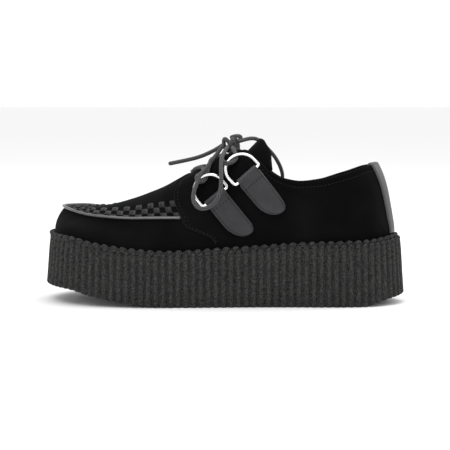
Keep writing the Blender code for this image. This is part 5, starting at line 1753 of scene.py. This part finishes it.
class Tab:
    """A leather strip folded round a ring's bar and laid down the side of the upper."""

    STITCH_SINK = 0.0004

    def __init__(self, last: Last, side: Side, row: tuple, tree: BVHTree) -> None:
        """Place the tab.

        Args:
            last: The form of the upper.
            side: The side of the shoe.
            row: Name, share of the length, share of the height and turn.
            tree: The upper's faces.
        """
        name, along, height, turn = row
        self.name = f"{side.name.lower()} {name}"
        self.side = side
        self.tree = tree
        x = (along - 0.5) * SOLE_LENGTH
        self.mid = np.array((x, last.sole_top(x) + height * UPPER_HEIGHT))
        turn = math.radians(turn)
        self.down = np.array((math.sin(turn), -math.cos(turn)))
        self.across = np.array((math.cos(turn), math.sin(turn)))
        self.lay_roll()

    def hit(self, u: float, v: float) -> np.ndarray:
        """The point of the upper below a place on the tab."""
        x, z = self.mid + self.across * u + self.down * v
        start = Vector((x, self.side.value * 0.3, z))
        found = self.tree.ray_cast(start, Vector((0.0, -self.side.value, 0.0)))[0]
        if found is None:
            found = self.tree.find_nearest(start)[0]
        return np.array(found)

    def normal(self, u: float, v: float) -> np.ndarray:
        """The upper's outward direction there, taken over a few millimetres."""
        step = 0.003
        run = self.hit(u, v + step) - self.hit(u, v - step)
        over = self.hit(u + step, v) - self.hit(u - step, v)
        way = unit(np.cross(run, over))
        return way if way[1] * self.side.value > 0 else -way

    def lay_roll(self) -> None:
        """The straight line of the folded end, clear of the upper all along."""
        half = TAB_WIDTH / 2
        places = np.linspace(-half, half, 7)
        out = unit(sum(self.normal(u, ROLL_RADIUS) for u in places))
        ends = [self.hit(u, ROLL_RADIUS) for u in (-half, half)]
        run = unit(ends[1] - ends[0])
        out = unit(out - run * np.dot(out, run))
        lift = 0.0
        for u in places:
            line = ends[0] + (ends[1] - ends[0]) * (u + half) / TAB_WIDTH
            for v in (0.0, ROLL_RADIUS, 2 * ROLL_RADIUS):
                lift = max(lift, float(np.dot(self.hit(u, v) - line, out)))
        self.centre = (ends[0] + ends[1]) / 2 + out * (lift + ROLL_RADIUS + GAP)
        self.run = run
        self.out = out
        self.fall = np.cross(run, out)
        if self.fall[2] > 0:
            self.fall = -self.fall

    def edges(self, v: float) -> tuple[float, float]:
        """The two edges of the strip at a distance down it."""
        half = TAB_WIDTH / 2
        made = []
        for sign, (width, length) in ((-1.0, TAB_TIP_FRONT), (1.0, TAB_TIP_BACK)):
            t = min(1.0, max(0.0, (v - (TAB_LENGTH - length)) / length))
            made.append(sign * (half - width * (1 - math.sqrt(1 - t * t))))
        return made[0], made[1]

    def lift(self, v: float) -> float:
        """Height of the tab's face above the upper at a distance below the fold."""
        plies = TAB_REST + 2 * TAB_LEATHER
        swell = math.exp(-(((v - 0.0075) / 0.0022) ** 2)) * 0.0007
        return plies + swell

    def build(self, wear: Wardrobe) -> bpy.types.Object:
        """The strip with its rounded edges and its rolled end."""
        lines = (-1.0, -1.0, -0.97, -0.91, -0.86, -0.80, -0.74, -0.5, -0.25, 0.0,
                 0.25, 0.5, 0.74, 0.80, 0.86, 0.91, 0.97, 1.0, 1.0)
        rims = (0.0, 0.62, 0.92, 1.0, 0.98, 0.84, 0.98, 1.0, 1.0, 1.0,
                1.0, 1.0, 0.98, 0.84, 0.98, 1.0, 0.92, 0.62, 0.0)
        places = list(np.linspace(0.0056, TAB_LENGTH - 0.009, 22))
        places += [TAB_LENGTH - 0.009 * (1 - math.sin(t)) for t in np.linspace(0.1, math.pi / 2, 12)]
        rows = []
        bulge = ROLL_RADIUS
        for turn in np.linspace(195.0, 25.0, 13):
            angle = math.radians(turn)
            way = self.fall * math.cos(angle) + self.out * math.sin(angle)
            line = []
            for share, rim in zip(lines, rims):
                radius = bulge * (0.80 + 0.20 * rim)
                line.append(self.centre + self.run * share * TAB_WIDTH / 2 + way * radius)
            rows.append(line)
        for k, v in enumerate(places):
            left, right = self.edges(v)
            line = []
            fade = math.exp(-(((v - 0.0056) / 0.0016) ** 2))
            for share, rim in zip(lines, rims):
                u = left + (right - left) * (share + 1) / 2
                near_tip = min(1.0, 0.55 + (TAB_LENGTH - v) / 0.0012) if v > TAB_LENGTH - 0.0006 else 1.0
                top = self.lift(v) * rim * near_tip + 0.0002
                line.append(self.hit(u, v) + self.normal(u, v) * (top + fade * 0.0005 * rim))
            rows.append(line)
        tip = self.hit(sum(self.edges(TAB_LENGTH)) / 2, TAB_LENGTH)
        way = self.normal(sum(self.edges(TAB_LENGTH)) / 2, TAB_LENGTH)
        rows.append([tip + way * 0.0002] * len(lines))
        under = []
        for turn in np.linspace(195.0, 330.0, 8):
            angle = math.radians(turn)
            way = self.fall * math.cos(angle) + self.out * math.sin(angle)
            under.append([self.centre + self.run * share * TAB_WIDTH / 2 + way * bulge * (0.80 + 0.20 * rim)
                          for share, rim in zip(lines, rims)])
        ends = []
        for sign in (-1.0, 1.0):
            disc = []
            for radius in (bulge * 0.80, RING_WIRE + 0.0002):
                ring = []
                for k in range(24):
                    angle = 2 * math.pi * k / 24
                    way = self.fall * math.cos(angle) + self.out * math.sin(angle)
                    ring.append(self.centre + self.run * sign * TAB_WIDTH / 2 + way * radius)
                disc.append(ring)
            ends.append(Sheet(np.array(disc), wrap=True))
        sheets = [Sheet(np.array(rows)), Sheet(np.array(under))] + ends
        return mesh_object(f"tab {self.name}", sheets, [wear.leather], weld=1e-5, sharp=70.0)

    def stitch_lines(self) -> list[np.ndarray]:
        """Lines of the stitches: round the edge and across below the fold."""
        inset = 0.0020
        left_line = []
        right_line = []
        for v in np.linspace(0.0110, TAB_LENGTH - inset, 40):
            left, right = self.edges(min(v + inset * 0.4, TAB_LENGTH))
            width = max(0.0, right - left - 2 * inset)
            middle = (left + right) / 2
            for target, u in ((left_line, middle - width / 2), (right_line, middle + width / 2)):
                target.append(self.hit(u, v) + self.normal(u, v) * (self.lift(v) - self.STITCH_SINK))
        half = TAB_WIDTH / 2 - inset
        cross = []
        for u in np.linspace(-half, half, 12):
            v = 0.0105
            cross.append(self.hit(u, v) + self.normal(u, v) * (self.lift(v) + 0.0001))
        return [np.array(left_line + right_line[::-1]), np.array(cross)]


class Ring:
    """A D-shaped wire ring whose bar lies in a tab's folded end."""

    CORNER = RING_WIRE * 1.6

    def __init__(self, tab: Tab, tree: BVHTree) -> None:
        """Tip the ring out of the tab until it clears the upper.

        Args:
            tab: The tab that holds the bar.
            tree: Faces of the upper and the tongue.
        """
        self.tab = tab
        self.half = RING_INNER_WIDTH / 2 + RING_WIRE
        for degrees in range(-20, 75, 2):
            turn = math.radians(degrees)
            self.reach = -tab.fall * math.cos(turn) + tab.out * math.sin(turn)
            if self.clear(tree):
                break
        self.face = unit(np.cross(tab.run, self.reach))
        if np.dot(self.face, tab.out) < 0:
            self.face = -self.face

    def clear(self, tree: BVHTree) -> bool:
        """Whether the ring lies clear of the faces under it, with room for the lace below its arc."""
        for degrees in range(-90, 91, 15):
            room = RING_WIRE + 1.5 * GAP
            if abs(degrees) < 40:
                room += LACE * RING_LIFT
            spot = Vector(self.arc(degrees))
            near, normal, _, distance = tree.find_nearest(spot)
            if (spot - near).dot(normal) < 0 or distance < room:
                return False
        return True

    def arc(self, degrees: float, out: float = 0.0) -> np.ndarray:
        """A point on the ring's arc, or further out in its plane."""
        turn = math.radians(degrees)
        middle = self.tab.centre + self.reach * RING_LEG
        return middle + (self.tab.run * math.sin(turn) + self.reach * math.cos(turn)) * (self.half + out)

    def corner(self, degrees: float, sign: float) -> np.ndarray:
        """A point on the rounded corner at one end of the bar."""
        turn = math.radians(degrees)
        along = sign * (self.half - self.CORNER + self.CORNER * math.sin(turn))
        rise = self.CORNER * (1 - math.cos(turn))
        return self.tab.centre + self.tab.run * along + self.reach * rise

    def build(self, wear: Wardrobe) -> bpy.types.Object:
        """The wire, a closed loop with rounded corners."""
        centre = self.tab.centre
        corner = self.CORNER
        run, reach, half = self.tab.run, self.reach, self.half
        path = [centre + run * u for u in np.linspace(-(half - corner), half - corner, 12)]
        path += [self.corner(degrees, 1.0) for degrees in (22, 45, 68)]
        path += [centre + run * half + reach * v for v in np.linspace(corner, RING_LEG, 5)[:-1]]
        path += [self.arc(degrees) for degrees in range(90, -91, -6)]
        path += [centre - run * half + reach * v for v in np.linspace(RING_LEG, corner, 5)[1:]]
        path += [self.corner(degrees, -1.0) for degrees in (68, 45, 22)]
        return mesh_object(f"ring {self.tab.name}", [tube_sheet(np.array(path), RING_WIRE, 16, True)],
                           [wear.metal], weld=0.0)


class Lacing:
    """The lace: one length from the knot through the four rings and back, and the bow's four free lengths."""

    STEP = 0.0012
    KNOT_SPREAD = 0.62
    FACES = 14
    ROOM = LACE / 2 + 0.0001

    def __init__(self, last: Last, rings: dict, solids: Sequence[bpy.types.Object], wear: Wardrobe) -> None:
        self.last = last
        self.rings = rings
        self.wear = wear
        self.solids = list(solids)
        self.tree = tree_of(solids)

    def through(self, ring: Ring, enter: float, leave: float) -> list[np.ndarray]:
        """Points over a ring's arc from outside, down through it and out under the wire."""
        lift = RING_WIRE + self.ROOM
        over = ring.arc(enter) + ring.face * lift
        middle = (enter + leave) / 2
        inside = ring.arc(middle, -(RING_WIRE + LACE / 2 + 0.0006)) - ring.face * 0.0004
        under = ring.arc(leave) - ring.face * lift * 0.92
        return [over, inside, under]

    def over_the_top(self, start: np.ndarray, end: np.ndarray, extra: float) -> list[np.ndarray]:
        """Points from one side to the other, over what lies between."""
        points = []
        for t in (0.18, 0.34, 0.5, 0.66, 0.82):
            spot = start + (end - start) * t
            found = self.tree.ray_cast(Vector((spot[0], spot[1], 0.4)), Vector((0.0, 0.0, -1.0)))[0]
            if found is not None:
                spot[2] = max(spot[2], found.z + LACE / 2 + extra)
            points.append(spot)
        return points

    def bar(self) -> list[np.ndarray]:
        """Points of the lowest run, over the throat's front end, from the inner to the outer side."""
        half = []
        for along, across in zip(BAR_ALONG, BAR_ACROSS):
            x = (along - 0.5) * SOLE_LENGTH
            found = self.tree.ray_cast(Vector((x, -across * BALL_WIDTH, 0.4)), Vector((0, 0, -1)))[0]
            half.append(np.array((x, -across * BALL_WIDTH, found.z + LACE / 2 + 0.0003)))
        mirror = [p * np.array((1.0, -1.0, 1.0)) for p in half]
        return mirror[:-1] + half[::-1]

    def main_run(self) -> bpy.types.Object:
        """The lace from the knot through the rings and back to the knot."""
        rings = self.rings
        knot = self.last.lace_point(KNOT_CENTRE)
        halves = []
        for side in (Side.INNER, Side.OUTER):
            lower = self.through(rings[side, "lower"], BAR_LEAVES, CROSS_LEAVES)
            upper = self.through(rings[side.other, "upper"], CROSS_ENTERS, RISE_LEAVES)
            rise = 0.0004 if side is Side.INNER else LACE * 0.95
            points = lower + self.over_the_top(lower[-1], upper[0], rise) + upper
            end = knot + np.array((0.0, side.other.value * KNOT_SIZE[1] * 0.15, -0.001))
            points += [(upper[-1] * 0.5 + end * 0.5) + np.array((0.0, 0.0, 0.001)), end]
            halves.append(points)
        path = halves[0][::-1] + self.bar() + halves[1]
        line = smooth_path(path, self.STEP)
        line = push_clear(line, self.tree, self.ROOM)
        return mesh_object("lacing", [rounded_tube(line, LACE / 2, self.FACES)], [self.wear.lace], weld=0.0)

    def knot(self) -> bpy.types.Object:
        """The knot: two turns of the lace wound into each other."""
        centre = self.last.lace_point(KNOT_CENTRE)
        size = np.array(KNOT_SIZE) * self.KNOT_SPREAD - LACE / 2 * 0.75
        path = []
        for t in np.linspace(0.0, 2 * math.pi, 90, endpoint=False):
            path.append(centre + np.array((
                size[0] * (math.sin(t) + 1.4 * math.sin(2 * t)) / 1.9,
                size[1] * (math.cos(t) - 1.4 * math.cos(2 * t)) / 1.9,
                -size[2] * 1.2 * math.sin(3 * t),
            )))
        turns = tube_sheet(np.array(path), LACE / 2, self.FACES, True)
        return mesh_object("knot", [turns], [self.wear.lace], weld=0.0)

    def free_length(self, name: str, rows: Sequence[tuple], others: Sequence[bpy.types.Object]) -> tuple:
        """One of the bow's lengths, laid clear of the shoe.

        Args:
            name: The object's name.
            rows: Its route from the knot.
            others: Pieces already laid that it has to clear.

        Returns:
            The object and its path.
        """
        tree = tree_of(list(self.solids) + list(others))
        path = smooth_path([self.last.lace_point(row) for row in rows], self.STEP * 1.5)
        path = push_clear(path, tree, self.ROOM)
        return mesh_object(name, [rounded_tube(path, LACE / 2, self.FACES)], [self.wear.lace], weld=0.0), path


@dataclass(frozen=True)
class Viewpoint:
    """Where the camera stands: azimuth and elevation in degrees, sizes in metres."""

    azimuth: float = 4.0
    elevation: float = 5.3
    distance: float = 1.10
    target: tuple[float, float, float] = (0.0009, 0.0, 0.0624)
    field: float = 0.374

    def build(self) -> bpy.types.Object:
        """The scene's camera."""
        data = bpy.data.cameras.new("camera")
        data.sensor_width = 36.0
        data.lens = data.sensor_width * self.distance / self.field
        data.clip_start = 0.01
        data.clip_end = 200.0
        camera = bpy.data.objects.new("camera", data)
        bpy.context.collection.objects.link(camera)
        a, e = math.radians(self.azimuth), math.radians(self.elevation)
        back = Vector((math.sin(a) * math.cos(e), -math.cos(a) * math.cos(e), math.sin(e)))
        camera.location = Vector(self.target) + back * self.distance
        camera.rotation_mode = "QUATERNION"
        camera.rotation_quaternion = (-back).to_track_quat("-Z", "Y")
        bpy.context.scene.camera = camera
        return camera


@dataclass(frozen=True)
class Lamp:
    """A soft square lamp aimed at a point."""

    name: str
    place: tuple[float, float, float]
    size: float
    power: float
    aim: tuple[float, float, float] = (0.0, 0.0, 0.07)

    def build(self) -> bpy.types.Object:
        """The lamp."""
        data = bpy.data.lights.new(self.name, "AREA")
        data.size = self.size
        data.energy = self.power
        lamp = bpy.data.objects.new(self.name, data)
        bpy.context.collection.objects.link(lamp)
        lamp.location = self.place
        lamp.rotation_mode = "QUATERNION"
        way = Vector(self.aim) - Vector(self.place)
        lamp.rotation_quaternion = way.to_track_quat("-Z", "Y")
        return lamp


LAMPS = (
    Lamp("key", (-0.5, -0.9, 1.5), 0.9, 9.0),
    Lamp("top", (0.3, 0.3, 1.7), 1.1, 9.0),
    Lamp("rim", (1.1, 0.5, 0.7), 0.6, 3.0),
)


@dataclass(frozen=True)
class Studio:
    """A white floor that runs to the horizon, a white sky, the camera and soft lamps.

    Attributes:
        floor_half: Half the floor's width in metres.
        floor_tone: The floor's grey.
        floor_drop: How far the floor lies below the sole, so that the two never share a face.
    """

    floor_half: float = 40.0
    floor_tone: float = 0.93
    floor_drop: float = 0.0001

    def sky(self) -> None:
        """The even white sky, seen through the plain view transform."""
        world = bpy.data.worlds.new("studio")
        world.use_nodes = True
        sky = world.node_tree.nodes["Background"]
        sky.inputs["Color"].default_value = (1.0, 1.0, 1.0, 1.0)
        sky.inputs["Strength"].default_value = 1.0
        bpy.context.scene.world = world
        bpy.context.scene.view_settings.view_transform = "Standard"

    def floor(self) -> None:
        """The floor."""
        made, _, shader = new_material("floor")
        shader.inputs["Base Color"].default_value = (*[self.floor_tone] * 3, 1.0)
        shader.inputs["Roughness"].default_value = 0.9
        shader.inputs["Specular IOR Level"].default_value = 0.1
        mesh = bpy.data.meshes.new("floor")
        half = self.floor_half
        corners = [(-half, -half, 0), (half, -half, 0), (half, half, 0), (-half, half, 0)]
        mesh.from_pydata(corners, [], [(0, 1, 2, 3)])
        mesh.materials.append(made)
        floor = bpy.data.objects.new("floor", mesh)
        bpy.context.collection.objects.link(floor)
        floor.location.z = -self.floor_drop

    def build(self) -> None:
        """The whole studio."""
        Viewpoint().build()
        self.sky()
        self.floor()
        for lamp in LAMPS:
            lamp.build()


@dataclass(frozen=True)
class UpperSeams:
    """The upper's visible rows of stitches.

    Attributes:
        last: The form of the upper.
        wear: The finishes.
        front: Distance of the row behind the quarter's front edge, as a share of the shoulder line.
        lower: Distances of the two rows that run down below the apron.
        top: Distance of the row below the collar's edge, in metres.
    """

    last: Last
    wear: Wardrobe
    front: float = 0.009
    lower: tuple[float, float] = (0.006, 0.013)
    top: float = 0.0042

    def upright(self, side: Side, step: float, levels: np.ndarray) -> np.ndarray:
        """A row behind the quarter's front edge."""
        places = [(QUARTER_AT + step, level) for level in levels]
        return surface_line(self.last, Part.QUARTER, side, places, 0.0001)

    def collar(self, side: Side) -> np.ndarray:
        """The row along the collar."""
        places = []
        for at in np.linspace(QUARTER_AT + 0.010, 0.955, 90):
            levels, run = self.last.section_run(Part.QUARTER, side, at, 1.0, 2.0)
            places.append((at, float(np.interp(run[-1] - self.top, run, levels))))
        return surface_line(self.last, Part.QUARTER, side, places, 0.0001)

    def build(self, stitcher: Stitcher) -> bpy.types.Object:
        """Every row, as one object."""
        lines = []
        for side in Side:
            lines.append(self.upright(side, self.front, np.linspace(1.02, 1.97, 30)))
            lines += [self.upright(side, step, np.linspace(0.30, 1.0, 24)) for step in self.lower]
        lines += [self.collar(side) for side in Side]
        return stitcher.sew("upper stitches", lines, self.wear.thread)


def dress() -> None:
    """Build every visible piece."""
    last = Last(Plan())
    wear = Wardrobe.make()
    stitcher = Stitcher()
    show(Platform(last, wear).build(), "rubber", "outsole")
    show(BeadedWelt(last, wear).build(), "rubber", "welt")
    show(InsoleBoard(last, wear).build(), "lining", "insole")
    upper = show(UpperBuilder(last, wear).build(), "suede", "upper")
    tongue = show(Tongue(last, wear).build(), "suede", "tongue")
    show(ApronPiping(last, wear).build(), "leather", "apron_piping")
    show(CollarBinding(last, wear).build(), "suede")
    show(CutEdges(last, wear).build(), "suede")
    show(HeelStrap(last, wear).build(), "leather", "back_strap")
    show(UpperSeams(last, wear).build(stitcher), "suede")
    tree = tree_of([upper])
    both = tree_of([upper, tongue])
    rings: dict = {}
    fittings = []
    for side in Side:
        for row in TABS:
            tab = Tab(last, side, row, tree)
            node = f"{side.name.lower()}_{row[0]}"
            fittings.append(show(tab.build(wear), "leather", f"tab_{node}"))
            stitches = f"tab stitches {tab.name}"
            show(stitcher.sew(stitches, tab.stitch_lines(), wear.thread, *TAB_STITCH), "leather")
            ring = Ring(tab, both)
            fittings.append(show(ring.build(wear), "nickel", f"ring_{node}"))
            rings[side, row[0]] = ring
    dress_lace(last, rings, [upper, tongue] + fittings, wear)


def dress_lace(last: Last, rings: dict, solids: Sequence[bpy.types.Object], wear: Wardrobe) -> None:
    """The lacing, the knot and the bow."""
    lacing = Lacing(last, rings, solids, wear)
    show(lacing.main_run(), "lace", "lace_bar", "lace_cross")
    knot = show(lacing.knot(), "lace", "lace_knot")
    lengths = (
        ("near loop", "lace_loop_near", LOOP_NEAR, "object"),
        ("far loop", "lace_loop_far", LOOP_FAR, "object"),
        ("outer end", "lace_end_outer", END_OUTER, "bare"),
        ("inner end", "lace_end_inner", END_INNER, "bare"),
    )
    laid: list = []
    for name, node, rows, far_end in lengths:
        piece, path = lacing.free_length(name, rows, laid)
        show(piece, "lace", node)
        laid.append(piece)


def main() -> None:
    """Load the fixed frame and build the studio and the dressed shoe."""
    logging.basicConfig(level=logging.INFO, format="%(message)s")
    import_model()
    Studio().build()
    dress()


if __name__ == "__main__":
    main()
